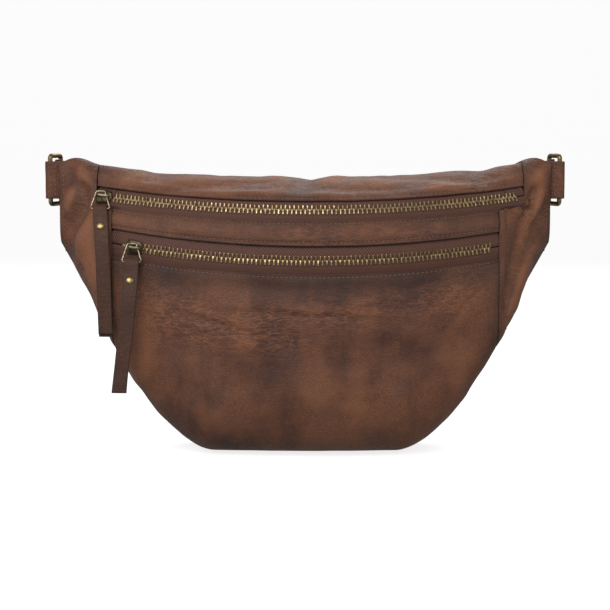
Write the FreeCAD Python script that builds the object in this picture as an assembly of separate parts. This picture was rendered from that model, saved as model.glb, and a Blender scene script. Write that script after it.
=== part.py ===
"""Leather waist pack with two curved zips, leather pull tabs and a folded waist strap.

+X is the wearer's-front view's right, -Y the front, +Z up. The origin is the middle of
the flat base. Every leather panel is a thin curved sheet between rails; the two zips lie
on circular arcs, so that a slider travels by turning about the axis of its arc.
"""
import FreeCAD, Part
import math
import os

V = FreeCAD.Vector

# Leather, lining and clearances
LEATHER = 1.4
STRAP_LEATHER = 1.8
LINING = 0.6
LINING_HALF = 100.0
POCKET_LINING_IN = 11.0
MAIN_LINING_IN = 13.0
BACK_LINING_HALF = 112.0
BACK_LINING_IN = 2.0
TAPE = 0.6
SEAM_GAP = 0.4
CUT_REACH = 120.0

# Bag body
PANEL_HALF = 121.5
BASE_HALF = 58.0
BASE_SINK = 0.6
CORNER_RISE = 66.0
CORNER_POWER = 1.75
BELLY_POWER = 3.7
BACK_Y = 28.0
BACK_CURL = 10.4
BACK_TOP_Z = 171.0
BACK_TOP_CLIMB = 6.0
SEAM_IN = 1.5
BACK_LOW_IN = 1.0
BACK_TOP_IN = 0.5
BELLY_AT = 0.55
TOP_BULGE = 8.2
BELLY_BULGE = 1.2
WING_END = 158.0
WING_END_FRONT_Y = 10.4
WING_END_ROUND = 4.7
WING_END_LOW_Z = 133.0
WING_END_HIGH_Z = 183.0
WING_CREST = 6.5
WING_CREST_LEAN = 1.6

# Zips: middle point, arc radius, rise of the arc's plane, lean of the cone, ends along X
MAIN_ZIP = {"x": 3.5, "y": -42.0, "z": 156.3, "radius": 272.0, "rise": 12.1, "cone": 27.0,
            "ends": (-131.5, 138.5)}
POCKET_ZIP = {"x": 6.0, "y": -46.0, "z": 125.3, "radius": 307.0, "rise": 20.0, "cone": 22.0,
              "ends": (-111.5, 121.0)}
TOP_EDGE = 6.0
BAND_TOP_EDGE = -7.0
BAND_LOW_EDGE = 9.0
PANEL_EDGE = -8.0
TAPE_HALF = 12.0
TAPE_SHOWN = 4.6
TAPE_CUT = 0.05
TAPE_LENGTHS = 12
TAPE_TUCK = 1.4
TOP_TAPE_TUCK = (9.4, -5.3)
LEATHER_LIFT = 1.8
TEETH_IN = 0.8
TEETH_OUT = 2.95
TOOTH_PITCH = 2.7
TOOTH_WIDTH = 1.25
TOOTH_HALF_HEIGHT = 1.3
STOP_LENGTH = 2.0
STOP_HALF_WIDTH = 2.4
STOP_PAST = 2.6
TEETH_START = 6.0
TEETH_END = 5.0
RELIEF_ROOM = 0.6
RELIEF_LIFT = 0.1
RELIEF_DEPTH = 6.0
RELIEF_PAST = 4.0
NOTCH_START = 10.0
NOTCH_LEAN = 3.0

# Top flap: the part of the top panel that swings up about its bend line
FLAP_X = (-119.5, 126.2)
FLAP_Y = -7.0
FLAP_Z = 176.0
FLAP_END_GAP = 0.8
FLAP_BEND_GAP = 1.0

# Slider, in its own frame: X along the zip, Y across it, Z outwards
SLIDER_HALF_LENGTH = 5.75
SLIDER_HALF_WIDTH = 4.2
SLIDER_CHANNEL = 1.6
SLIDER_PLATE = 0.7
SLIDER_FLANGE = 0.7
SLIDER_SLIT = 1.0
WEDGE_LENGTH = 4.0
WEDGE_WIDTH = 1.0
BRIDGE_HALF_LENGTH = 5.2
BRIDGE_FOOT = 0.8
BRIDGE_WIDTH = 1.0
BRIDGE_BAR = 0.9
BRIDGE_HOLE = 2.8
BRIDGE_CENTRE = SLIDER_CHANNEL + SLIDER_PLATE + BRIDGE_HOLE + BRIDGE_BAR / 2
MAIN_SLIDER_X = -126.0
POCKET_SLIDER_X = -105.5

# Puller ring and leather pull tab
RING_WIRE = 0.6
RING_YAW = -24.0
RING_TOP = 2.3
RING_TOP_HALF = 2.7
RING_LOW = 9.4
RING_LOW_HALF = 6.2
RING_BEND = 1.2
TAB_WIDTH = 9.0
TAB_LAYER = 1.3
TAB_LAYER_GAP = 0.5
TAB_BORE = 1.3
TAB_NECK = 7.0
TAB_RIVET_AT = 12.0
TAB_BEND = (15.0, 28.0)
TAB_FOLD_FROM = 1.5
TAB_FACE_FROM = 2.0
RIVET_SHAFT = 1.2
RIVET_CAP = 2.5
RIVET_CAP_TOP = 0.55
RIVET_CAP_HEIGHT = 0.9
RIVET_PLAY = 0.05
RIVET_HOLE_REACH = 6.0

# Hanging direction of each puller ring, and its tab's layer lengths, bend and lean
MAIN_HANG = (0.0, -0.42, -1.0)
MAIN_TAB = {"lengths": (76.0, 77.0), "bend": 0.40, "skew": 0.06}
POCKET_HANG = (0.0, -0.30, -1.0)
POCKET_TAB = {"lengths": (80.0, 78.0), "bend": 0.28, "skew": -0.07}

# Wing rings, straps and buckle
LOOP_X = 164.0
LOOP_Y = 14.43
RING_Z = 173.0
WING_RING_WIRE = 1.5
LOOP_HEIGHT = 24.0
LOOP_INNER_Y = 13.55
LOOP_OUTER_Y = 15.31
LOOP_RUN = (150.0, 154.0, 158.0)
WING_RING_HEIGHT = 31.0
WING_RING_REACH = (5.0, 12.0)
WING_RING_BEND = 2.0
FOLD_ROOM = 0.5
STRAP_WIDTH = 25.0
STRAP_Y = 32.6
STRAP_PITCH = 3.2
STRAP_DROOP = 0.25
STRAP_ROOT_NEAR = ((126.0, 30.3), (132.0, 30.3), (138.0, 29.3), (148.0, 26.1), (154.0, 24.2))
STRAP_ROOT_FAR = ((154.0, 29.9), (148.0, 31.3), (138.0, 32.4), (132.0, STRAP_Y))
STRAP_FOLDS = ((122.0, 20.0), (20.0, 110.0), (110.0, 8.0))
STRAP_TURN = 6.0
STRAP_HOLES = (22.0, 102.0)
STRAP_HOLE_RADIUS = 2.0
ROOT_RIVET_X = 130.0
ROOT_RIVET_APART = 12.0
ROOT_RIVET_DEPTH = 1.15

# Buckle, prong and keeper
BUCKLE_X = -24.0
BUCKLE_Y = STRAP_Y + 1.5
BUCKLE_LENGTH = 21.0
BUCKLE_HEIGHT = 33.0
BUCKLE_WIRE = 1.6
BUCKLE_BEND = 3.0
BUCKLE_RUN = ((-122.0, 0.0), (-40.0, 0.0), (-34.0, 0.0), (-30.0, -0.3))
BUCKLE_RETURN = ((-30.0, 3.0), (-35.0, 2.3), (-42.0, 2.2), (-50.0, 2.2), (-58.0, 2.2))
BUCKLE_RIVET_X = -46.0
BUCKLE_RIVET_IN = 1.1
PRONG_SLOT = (14.0, 14.0, 5.0)
PRONG_EYE = 3.0
PRONG_RADIUS = 1.1
PRONG_PLAY = 0.08
PRONG_PAST = 2.0
PRONG_START_IN = 0.6
PRONG_TIP_OUT = 0.3
KEEPER_X = -100.0
KEEPER_WIDTH = 10.0
KEEPER_ROOM = (0.35, 2.2, 1.6)


# ---------------------------------------------------------------- arcs and rails
def zip_axis(line):
    """Centre point and unit axis of the circle that a zip runs on."""
    rise = math.radians(line["rise"])
    axis = V(0, -math.sin(rise), math.cos(rise))
    reach = line["radius"]
    centre = V(line["x"], line["y"] + reach * math.cos(rise), line["z"] + reach * math.sin(rise))
    return centre, axis


def zip_frame(line, angle, across=0.0):
    """Point on the zip's cone and its travel, across and outward directions."""
    centre, axis = zip_axis(line)
    rise = math.radians(line["rise"])
    cone = math.radians(line["cone"])
    flat = -math.cos(angle)
    radial = V(math.sin(angle), flat * math.cos(rise), flat * math.sin(rise))
    travel = V(math.cos(angle), math.sin(angle) * math.cos(rise), math.sin(angle) * math.sin(rise))
    up = radial * -math.sin(cone) + axis * math.cos(cone)
    out = radial * math.cos(cone) + axis * math.sin(cone)
    point = centre + radial * line["radius"] + up * across
    return point, travel, up, out


def zip_angle(line, x, across=0.0):
    """Arc angle at which the zip's cone, at this distance across, has the given X."""
    reach = line["radius"] - across * math.sin(math.radians(line["cone"]))
    return math.asin((x - line["x"]) / reach)


def rail(line, across, x):
    """Point of the leather's outer edge beside a zip, at the given X."""
    point, _, _, out = zip_frame(line, zip_angle(line, x, across), across)
    return V(x, point.y + out.y * LEATHER_LIFT, point.z + out.z * LEATHER_LIFT)


def frame_matrix(origin, along, across, out):
    """Placement that carries a local X, Y, Z frame to the given directions."""
    return FreeCAD.Matrix(along.x, across.x, out.x, origin.x,
                          along.y, across.y, out.y, origin.y,
                          along.z, across.z, out.z, origin.z, 0, 0, 0, 1)


def placed(shape, origin, along, across, out):
    """Copy of a locally built shape, carried to its frame."""
    return shape.transformGeometry(frame_matrix(origin, along, across, out))


# ---------------------------------------------------------------- solids from curves
def cross_normal(grid, i, j):
    """Unit normal of a point grid at one of its points."""
    last_i = len(grid) - 1
    last_j = len(grid[0]) - 1
    along = grid[min(i + 1, last_i)][j] - grid[max(i - 1, 0)][j]
    across = grid[i][min(j + 1, last_j)] - grid[i][max(j - 1, 0)]
    normal = along.cross(across)
    return normal.normalize()


def offset_grid(grid, depth):
    """The grid moved inwards, against its normals."""
    rows = range(len(grid))
    columns = range(len(grid[0]))
    return [[grid[i][j] - cross_normal(grid, i, j) * depth for j in columns] for i in rows]


def surface_through(grid):
    """Smooth face through a grid of points."""
    surface = Part.BSplineSurface()
    surface.interpolate(grid)
    return surface


def solid_from_faces(faces):
    """Closed solid from faces that meet edge to edge."""
    shell = Part.makeShell(faces)
    shell.sewShape()
    solid = Part.makeSolid(shell)
    if solid.Volume < 0:
        solid.reverse()
    return solid


def sheet(grid, depth, thickness):
    """Curved sheet: its outer face lies 'depth' inside the grid."""
    outer = surface_through(offset_grid(grid, depth) if depth else grid)
    inner = surface_through(offset_grid(grid, depth + thickness))
    faces = [outer.toShape(), inner.toShape()]
    for side in ("u0", "u1", "v0", "v1"):
        faces.append(Part.makeRuledSurface(border(outer, side), border(inner, side), 1))
    return solid_from_faces(faces)


def border(surface, side):
    """One boundary edge of a surface."""
    low_u, high_u, low_v, high_v = surface.bounds()
    if side == "u0":
        return surface.uIso(low_u).toShape()
    if side == "u1":
        return surface.uIso(high_u).toShape()
    if side == "v0":
        return surface.vIso(low_v).toShape()
    return surface.vIso(high_v).toShape()


def curve_through(points):
    """Smooth edge through points."""
    curve = Part.BSplineCurve()
    curve.interpolate(points)
    return curve.toShape()


def even(points, count):
    """Evenly spaced points on the smooth curve through the given ones."""
    return curve_through(points).discretize(Number=count)


def ribbon(path, thickness, low, height, slope=0.0):
    """Upright band on a path in the XY plane; with a slope, it climbs along X."""
    last = len(path) - 1
    left = []
    right = []
    for i, point in enumerate(path):
        ahead = path[min(i + 1, last)] - path[max(i - 1, 0)]
        side = V(-ahead.y, ahead.x, 0).normalize() * (thickness / 2)
        left.append(point + side)
        right.append(point - side)
    band = prism(left + right[::-1], V(0, 0, height))
    if not slope:
        band.translate(V(0, 0, low))
        return band
    climb = FreeCAD.Matrix(1, 0, 0, 0, 0, 1, 0, 0, slope, 0, 1, low, 0, 0, 0, 1)
    return band.transformGeometry(climb)


def bent_wire(points, bend, radius, closed):
    """Round wire along straight runs that are joined by bends of one radius."""
    count = len(points)
    corners = range(count) if closed else range(1, count - 1)
    starts = {}
    ends = {}
    pieces = []
    for i in corners:
        here = points[i]
        before = (points[i - 1] - here).normalize()
        after = (points[(i + 1) % count] - here).normalize()
        half = before.getAngle(after) / 2
        reach = bend / math.tan(half)
        starts[i] = here + before * reach
        ends[i] = here + after * reach
        centre = here + (before + after).normalize() * (bend / math.sin(half))
        axis = before.cross(after).normalize()
        disc = Part.Face(Part.Wire(Part.makeCircle(radius, starts[i], before)))
        turn = 180 - math.degrees(2 * half)
        pieces.append(disc.revolve(centre, axis * -1, turn))
    runs = range(count) if closed else range(count - 1)
    for i in runs:
        j = (i + 1) % count
        low = ends.get(i, points[i])
        high = starts.get(j, points[j])
        run = high - low
        pieces.append(Part.makeCylinder(radius, run.Length, low, run))
    wire = pieces[0].multiFuse(pieces[1:])
    return wire.removeSplitter()


def prism(points, direction):
    """Straight prism on a polygon."""
    return Part.Face(Part.makePolygon(points + [points[0]])).extrude(direction)


def spread(low, high, count):
    """Evenly spaced values, both ends included."""
    return [low + (high - low) * i / (count - 1) for i in range(count)]


# ---------------------------------------------------------------- the bag's form
def bottom_z(x):
    """Height of the bag's lower outline: flat, then a rounded corner."""
    past = max(0.0, (abs(x) - BASE_HALF) / (PANEL_HALF - BASE_HALF))
    return CORNER_RISE * past ** CORNER_POWER


def back_y(x):
    """The back panel's outer face, curling forward towards the wings."""
    return BACK_Y - BACK_CURL * (abs(x) / WING_END) ** 4


def back_top_z(x):
    """Top edge of the back panel between the wings."""
    return BACK_TOP_Z + BACK_TOP_CLIMB * (abs(x) / PANEL_HALF) ** 3


def front_section(x, count=13):
    """Points from the bottom seam, under the belly and up to the pocket zip."""
    edge = rail(POCKET_ZIP, PANEL_EDGE, x)
    low = bottom_z(x) - BASE_SINK
    seam_y = back_y(x) - SEAM_IN
    belly_z = low + BELLY_AT * (edge.z - low)
    reach = seam_y - edge.y
    points = []
    for angle in spread(0.0, math.pi / 2, count):
        forward = math.sin(angle) ** (2 / BELLY_POWER)
        down = max(0.0, math.cos(angle)) ** (2 / BELLY_POWER)
        points.append(V(x, seam_y - reach * forward, belly_z - (belly_z - low) * down))
    for part in spread(0.0, 1.0, 5)[1:]:
        bulge = BELLY_BULGE * math.sin(math.pi * part)
        points.append(V(x, edge.y - bulge, belly_z + (edge.z - belly_z) * part))
    return even(points, count)


def band_section(x, count=4):
    """Points of the band between the two zips."""
    low = rail(POCKET_ZIP, BAND_LOW_EDGE, x)
    high = rail(MAIN_ZIP, BAND_TOP_EDGE, x)
    return [low + (high - low) * part for part in spread(0.0, 1.0, count)]


def top_section(x, count=9):
    """Points from the main zip over the crest to the back seam."""
    edge = rail(MAIN_ZIP, TOP_EDGE, x)
    seam = V(x, back_y(x) - SEAM_IN, back_top_z(x))
    points = []
    for part in spread(0.0, 1.0, count):
        rise = TOP_BULGE * math.sin(math.pi * part)
        points.append(edge + (seam - edge) * part + V(0, 0, rise))
    return points


def front_panel():
    """Front leather, curving under the bag to its back seam, with a flat base."""
    half = PANEL_HALF - SEAM_GAP
    grid = [front_section(x) for x in spread(-half, half, 25)]
    panel = sheet(grid, 0.0, LEATHER)
    floor = Part.makeBox(2 * CUT_REACH, 2 * CUT_REACH, 10, V(-CUT_REACH, -CUT_REACH, -10))
    return panel.cut(floor)


def middle_band():
    """Leather band between the zips."""
    half = PANEL_HALF - SEAM_GAP
    grid = [band_section(x) for x in spread(-half, half, 25)]
    return sheet(grid, 0.0, LEATHER)


def wing_edge(side):
    """The section at the inner edge of a wing."""
    x = side * PANEL_HALF
    return even(front_section(x) + band_section(x) + top_section(x), 25)


def wing_crest(part):
    """Height of the soft crest on a wing, this part of the way to its end."""
    return WING_CREST * math.sin(math.pi * part ** WING_CREST_LEAN)


def wing_panel(side):
    """Leather that closes one end of the bag, with a notch for the main zip's end."""
    inner = wing_edge(side)
    last = len(inner) - 1
    rows = []
    for part in spread(0.0, 1.0, 9):
        row = []
        for j, point in enumerate(inner):
            up = j / last
            round_in = WING_END_ROUND * max(0.0, 1 - 2 * up) ** 6
            end_z = WING_END_LOW_Z + (WING_END_HIGH_Z - WING_END_LOW_Z) * up
            end = V(side * WING_END, WING_END_FRONT_Y + round_in, end_z)
            row.append(point + (end - point) * part + V(0, 0, wing_crest(part) * up ** 3))
        rows.append(row)
    if side < 0:
        rows.reverse()
    panel = sheet(rows, 0.0, LEATHER).cut(mouth_notch(side))
    for line in (MAIN_ZIP, POCKET_ZIP):
        panel = panel.cut(zip_relief(line, side))
    return max(panel.Solids, key=lambda solid: solid.Volume)


def zip_relief(line, side):
    """Room under a wing for the end of a zip's tape and its stop."""
    reach = TAPE_HALF + RELIEF_ROOM
    level = TAPE / 2 + RELIEF_LIFT
    profile = [(-reach, -RELIEF_DEPTH), (-reach, level), (reach, level), (reach, -RELIEF_DEPTH)]
    end = line["ends"][1 if side > 0 else 0]
    low, high = sorted((side * (PANEL_HALF - RELIEF_PAST), end + side * RELIEF_PAST))
    return arc_bar(line, profile, low, high)


def mouth_notch(side):
    """Region that the main zip and the top panel take out of a wing."""
    end = MAIN_ZIP["ends"][1 if side > 0 else 0] + side * SEAM_GAP
    start = side * (PANEL_HALF - NOTCH_START)
    points = [V(x, -CUT_REACH, rail(MAIN_ZIP, BAND_TOP_EDGE, x).z) for x in spread(start, end, 4)]
    points.append(V(end, -CUT_REACH, rail(MAIN_ZIP, TOP_EDGE, end).z))
    points.append(V(end - side * NOTCH_LEAN, -CUT_REACH, 2 * CUT_REACH))
    points.append(V(start, -CUT_REACH, 2 * CUT_REACH))
    return prism(points, V(0, 2 * CUT_REACH, 0))


def top_sheet():
    """Whole top panel, from the main zip to the back seam and from wing to wing."""
    low, high = MAIN_ZIP["ends"]
    grid = [top_section(x) for x in spread(low, high, 25)]
    return sheet(grid, 0.0, LEATHER)


def flap_prism(side_gap, end_gap, middle_gap):
    """Upright prism on the swinging part, its rear edge this far ahead of the bend line."""
    low, high = FLAP_X
    low -= side_gap
    high += side_gap
    base = -CUT_REACH
    points = [V(low, base, base), V(high, base, base), V(high, FLAP_Y - end_gap, base),
              V((low + high) / 2, FLAP_Y - middle_gap, base), V(low, FLAP_Y - end_gap, base)]
    return prism(points, V(0, 0, 4 * CUT_REACH))


def top_flap(whole):
    """Front part of the top panel."""
    return whole.common(flap_prism(0.0, FLAP_END_GAP, FLAP_BEND_GAP))


def top_rear(whole):
    """Rear and end parts of the top panel, which stay with the bag."""
    return whole.cut(flap_prism(SEAM_GAP, 0.0, 0.0))


def back_section(x, count=9):
    """Points up the back panel at one X."""
    low = bottom_z(x) + BACK_LOW_IN
    high = back_top_z(x) - BACK_TOP_IN
    if abs(x) > PANEL_HALF:
        part = (abs(x) - PANEL_HALF) / (WING_END - PANEL_HALF)
        low = bottom_z(PANEL_HALF) + BACK_LOW_IN
        low += (WING_END_LOW_Z - low) * part
        high = back_top_z(PANEL_HALF)
        high += (WING_END_HIGH_Z - high) * part + wing_crest(part) - BACK_TOP_IN
    return [V(x, back_y(x), z) for z in spread(low, high, count)]


def back_panel():
    """Back leather, from wing tip to wing tip."""
    grid = [back_section(x) for x in spread(WING_END, -WING_END, 33)]
    return sheet(grid, 0.0, LEATHER)


def pocket_lining():
    """Fabric behind the front pocket."""
    grid = [front_section(x)[5:] for x in spread(-LINING_HALF, LINING_HALF, 17)]
    return sheet(grid, POCKET_LINING_IN, LINING)


def main_lining_front():
    """Fabric on the front side of the main compartment."""
    places = spread(-LINING_HALF, LINING_HALF, 17)
    grid = [front_section(x)[4:] + band_section(x) for x in places]
    return sheet(grid, MAIN_LINING_IN, LINING)


def main_lining_back():
    """Fabric on the back side of the main compartment."""
    places = spread(BACK_LINING_HALF, -BACK_LINING_HALF, 17)
    grid = [back_section(x, 12)[1:-1] for x in places]
    return sheet(grid, BACK_LINING_IN, LINING)


# ---------------------------------------------------------------- zips
def arc_bar(line, profile, low, high):
    """Solid ring sector: a polygon in the zip's across and outward directions, turned."""
    centre, axis = zip_axis(line)
    start = zip_angle(line, low)
    point, _, up, out = zip_frame(line, start)
    corners = [point + up * a + out * b for a, b in profile]
    turn = math.degrees(zip_angle(line, high) - start)
    return Part.Face(Part.makePolygon(corners + [corners[0]])).revolve(centre, axis, turn)


def tape(line, side, low, high):
    """Woven tape on one side of a zip: the strip beside its teeth, in short lengths, and
    the strip that is tucked under the leather."""
    near = side * TEETH_IN
    edge = side * TAPE_SHOWN
    fold = side * (TAPE_SHOWN + TAPE_CUT)
    top_panel = side > 0 and line is MAIN_ZIP
    far, tuck = TOP_TAPE_TUCK if top_panel else (side * TAPE_HALF, -TAPE_TUCK)
    half = TAPE / 2
    shown = [(near, half), (edge, half), (edge, -half), (near, -half)]
    tucked = [(fold, half), (far, half + tuck), (far, -half + tuck), (fold, -half)]
    cuts = spread(low, high, TAPE_LENGTHS + 1)
    strips = [arc_bar(line, shown, a, b - TAPE_CUT) for a, b in zip(cuts, cuts[1:])]
    return Part.makeCompound(strips + [arc_bar(line, tucked, low, high)])


def teeth(line, side, low, high):
    """Separate metal teeth along one side of a zip."""
    start = zip_angle(line, low)
    stop = zip_angle(line, high)
    step = TOOTH_PITCH / line["radius"]
    first = math.ceil(start / step - side * 0.25) + side * 0.25
    inner, outer = sorted((side * TEETH_IN, side * TEETH_OUT))
    block = Part.makeBox(TOOTH_WIDTH, outer - inner, TOOTH_HALF_HEIGHT - TAPE / 2 - 0.05)
    blocks = []
    number = 0
    while (first + number) * step < stop:
        angle = (first + number) * step
        if angle > start:
            point, travel, up, out = zip_frame(line, angle)
            for lift in (TAPE / 2 + 0.05, -TOOTH_HALF_HEIGHT):
                corner = point - travel * (TOOTH_WIDTH / 2) + up * inner + out * lift
                tooth = block.copy()
                tooth.Placement = FreeCAD.Placement(frame_matrix(corner, travel, up, out))
                blocks.append(tooth)
        number += 1
    return Part.makeCompound(blocks)


def stops(line):
    """Metal stops past both ends of a zip."""
    high_face = TAPE / 2
    wide = STOP_HALF_WIDTH
    profile = [(-wide, -TOOTH_HALF_HEIGHT), (-wide, high_face), (wide, high_face),
               (wide, -TOOTH_HALF_HEIGHT)]
    low, high = line["ends"]
    first = arc_bar(line, profile, low - STOP_PAST, low - STOP_PAST + STOP_LENGTH)
    second = arc_bar(line, profile, high + STOP_PAST - STOP_LENGTH, high + STOP_PAST)
    return Part.makeCompound([first, second])


def slider_body():
    """Slider in its own frame: two plates, side flanges, the wedge and the bridge."""
    length = 2 * SLIDER_HALF_LENGTH
    width = 2 * SLIDER_HALF_WIDTH
    start = -SLIDER_HALF_LENGTH
    top = SLIDER_CHANNEL + SLIDER_PLATE
    flange = SLIDER_CHANNEL - SLIDER_SLIT
    parts = []
    for level in (SLIDER_CHANNEL, -top):
        parts.append(Part.makeBox(length, width, SLIDER_PLATE, V(start, -SLIDER_HALF_WIDTH, level)))
    for y in (-SLIDER_HALF_WIDTH, SLIDER_HALF_WIDTH - SLIDER_FLANGE):
        for z in (SLIDER_SLIT, -SLIDER_CHANNEL):
            parts.append(Part.makeBox(length, SLIDER_FLANGE, flange, V(start, y, z)))
    wedge = V(start, -WEDGE_WIDTH / 2, -SLIDER_CHANNEL)
    parts.append(Part.makeBox(WEDGE_LENGTH, WEDGE_WIDTH, 2 * SLIDER_CHANNEL, wedge))
    side = -BRIDGE_WIDTH / 2
    bar = V(-BRIDGE_HALF_LENGTH, side, top + BRIDGE_HOLE)
    parts.append(Part.makeBox(2 * BRIDGE_HALF_LENGTH, BRIDGE_WIDTH, BRIDGE_BAR, bar))
    for x in (-BRIDGE_HALF_LENGTH, BRIDGE_HALF_LENGTH - BRIDGE_FOOT):
        parts.append(Part.makeBox(BRIDGE_FOOT, BRIDGE_WIDTH, BRIDGE_HOLE, V(x, side, top)))
    return parts[0].multiFuse(parts[1:]).removeSplitter()


def slider(line, x):
    """Slider carried to its place on a zip."""
    point, travel, up, out = zip_frame(line, zip_angle(line, x))
    return placed(slider_body(), point, travel, up, out)


def puller_frame(line, x, hang):
    """Bridge centre, and the ring's width, hanging and outward directions."""
    point, travel, up, out = zip_frame(line, zip_angle(line, x))
    centre = point + out * BRIDGE_CENTRE
    yaw = math.radians(RING_YAW)
    width = travel * math.cos(yaw) + out * math.sin(yaw)
    hang = V(hang).normalize()
    width = (width - hang * width.dot(hang)).normalize()
    front = width.cross(hang)
    if front.dot(out) < 0:
        front = front * -1
    return centre, width, hang, front


def puller_ring(frame):
    """Thin wire ring through the slider's bridge."""
    centre, width, hang, _ = frame
    corners = [(-RING_TOP_HALF, -RING_TOP), (RING_TOP_HALF, -RING_TOP),
               (RING_LOW_HALF, RING_LOW), (-RING_LOW_HALF, RING_LOW)]
    points = [centre + width * u + hang * d for u, d in corners]
    return bent_wire(points, RING_BEND, RING_WIRE, True)


def tab_spine(along, bend):
    """Distance of the tab's middle from its straight line, where it bends to hang plumb."""
    start, stop = TAB_BEND
    if along <= start:
        return 0.0
    if along <= stop:
        return -bend * (along - start) ** 2 / (2 * (stop - start))
    return -bend * (along - (start + stop) / 2)


def tab_side(length, bend, inner, sign):
    """Points of one face of one layer, from the loose end up to the neck."""
    points = []
    layer = TAB_LAYER_GAP / 2 if inner else TAB_LAYER_GAP / 2 + TAB_LAYER
    loop = TAB_BORE if inner else TAB_BORE + TAB_LAYER
    for along in spread(length, TAB_FACE_FROM, 14):
        part = min(1.0, max(0.0, (along - TAB_FOLD_FROM) / (TAB_NECK - TAB_FOLD_FROM)))
        ease = part * part * (3 - 2 * part)
        points.append((along, tab_spine(along, bend) + sign * (loop + (layer - loop) * ease)))
    return points


def pull_tab(frame, lengths, bend, skew):
    """Leather strip folded over the ring's lower bar, with its two layers hanging."""
    centre, width, hang, front = frame
    down = (hang + width * skew).normalize()
    bar = centre + hang * RING_LOW
    outlines = []
    for inner in (False, True):
        radius = TAB_BORE if inner else TAB_BORE + TAB_LAYER
        arc = [(-radius * math.sin(a), radius * math.cos(a)) for a in spread(0.0, math.pi, 9)]
        face = tab_side(lengths[0], bend, inner, 1) + arc
        face += list(reversed(tab_side(lengths[1], bend, inner, -1)))
        outlines.append([bar + down * a + front * b for a, b in face])
    outer, inner = outlines
    strip = prism(outer + inner[::-1], width * TAB_WIDTH)
    strip.translate(width * (-TAB_WIDTH / 2))
    hole = tab_rivet_axis(frame, skew)
    return strip.cut(rivet_hole(hole, front))


def rivet_hole(middle, axis):
    """Round cutter for a rivet's hole."""
    start = middle - axis * RIVET_HOLE_REACH
    return Part.makeCylinder(RIVET_SHAFT + RIVET_PLAY, 2 * RIVET_HOLE_REACH, start, axis)


def tab_rivet_axis(frame, skew):
    """Point on the rivet's axis, midway between the tab's layers."""
    centre, width, hang, _ = frame
    down = (hang + width * skew).normalize()
    return centre + hang * RING_LOW + down * TAB_RIVET_AT


def tab_rivet(frame, skew):
    """Rivet through both layers, with a low domed cap on each side."""
    front = frame[3]
    middle = tab_rivet_axis(frame, skew)
    reach = TAB_LAYER_GAP / 2 + TAB_LAYER + RIVET_PLAY
    return rivet(middle, front, reach, RIVET_SHAFT, RIVET_CAP)


def rivet(middle, axis, reach, shaft, cap):
    """Shaft with two domed caps, 'reach' from the middle to each cap's underside."""
    end = reach + RIVET_CAP_HEIGHT / 4
    body = Part.makeCylinder(shaft, 2 * end, middle - axis * end, axis)
    domes = []
    for side in (-1, 1):
        under = middle + axis * (side * reach)
        domes.append(Part.makeCone(cap, cap * RIVET_CAP_TOP, RIVET_CAP_HEIGHT, under, axis * side))
    return body.multiFuse(domes).removeSplitter()


# ---------------------------------------------------------------- wing rings and straps
def fold_path(axis_x, axis_y, side, radius, near, far):
    """Path round a bar: from one layer's end, round the bar's outer side, to the other's."""
    arc = spread(-math.pi / 2, math.pi / 2, 9)
    bend = [V(axis_x + side * radius * math.cos(a), axis_y + radius * math.sin(a), 0) for a in arc]
    return near + bend + far


def ring_loop(side):
    """Folded leather loop that holds a wing ring and is sewn into the wing's end."""
    centre = WING_RING_WIRE + FOLD_ROOM + LEATHER / 2
    near = [V(side * x, LOOP_INNER_Y, 0) for x in LOOP_RUN]
    far = [V(side * x, LOOP_OUTER_Y, 0) for x in reversed(LOOP_RUN)]
    path = fold_path(side * LOOP_X, LOOP_Y, side, centre, near, far)
    return ribbon(path, LEATHER, RING_Z - LOOP_HEIGHT / 2, LOOP_HEIGHT)


def rear_bar(side):
    """Axis of the wing ring's rear bar, which the strap folds round."""
    return side * (LOOP_X - WING_RING_REACH[0]), LOOP_Y + WING_RING_REACH[1]


def wing_ring(side):
    """Rectangular wire ring between a wing's loop and the strap."""
    x, y = rear_bar(side)
    low = RING_Z - WING_RING_HEIGHT / 2
    high = RING_Z + WING_RING_HEIGHT / 2
    front_x = side * LOOP_X
    points = [V(front_x, LOOP_Y, low), V(front_x, LOOP_Y, high), V(x, y, high), V(x, y, low)]
    return bent_wire(points, WING_RING_BEND, WING_RING_WIRE, True)


def strap_z(x):
    """Height of a strap's middle, which droops evenly from its ring behind the bag."""
    return RING_Z - STRAP_DROOP * (rear_bar(1)[0] - abs(x))


def strap_band(path, side):
    """Strap leather on a path that starts at one of the two rings."""
    return ribbon(path, STRAP_LEATHER, strap_z(0) - STRAP_WIDTH / 2, STRAP_WIDTH, side * STRAP_DROOP)


def strap_root(side):
    """Path of a strap's short end, round the ring's bar and on to the long layer."""
    x, y = rear_bar(side)
    centre = WING_RING_WIRE + FOLD_ROOM + STRAP_LEATHER / 2
    near = [V(side * run_x, run_y, 0) for run_x, run_y in STRAP_ROOT_NEAR]
    far = [V(side * run_x, run_y, 0) for run_x, run_y in STRAP_ROOT_FAR]
    return fold_path(x, y, side, centre, near, far)


def turn_back(x, y, side):
    """Half-circle points where a folded strap doubles back."""
    radius = STRAP_PITCH / 2
    arc = spread(-math.pi / 2, math.pi / 2, 7)
    return [V(x + side * radius * math.cos(a), y + radius + radius * math.sin(a), 0) for a in arc]


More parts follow.
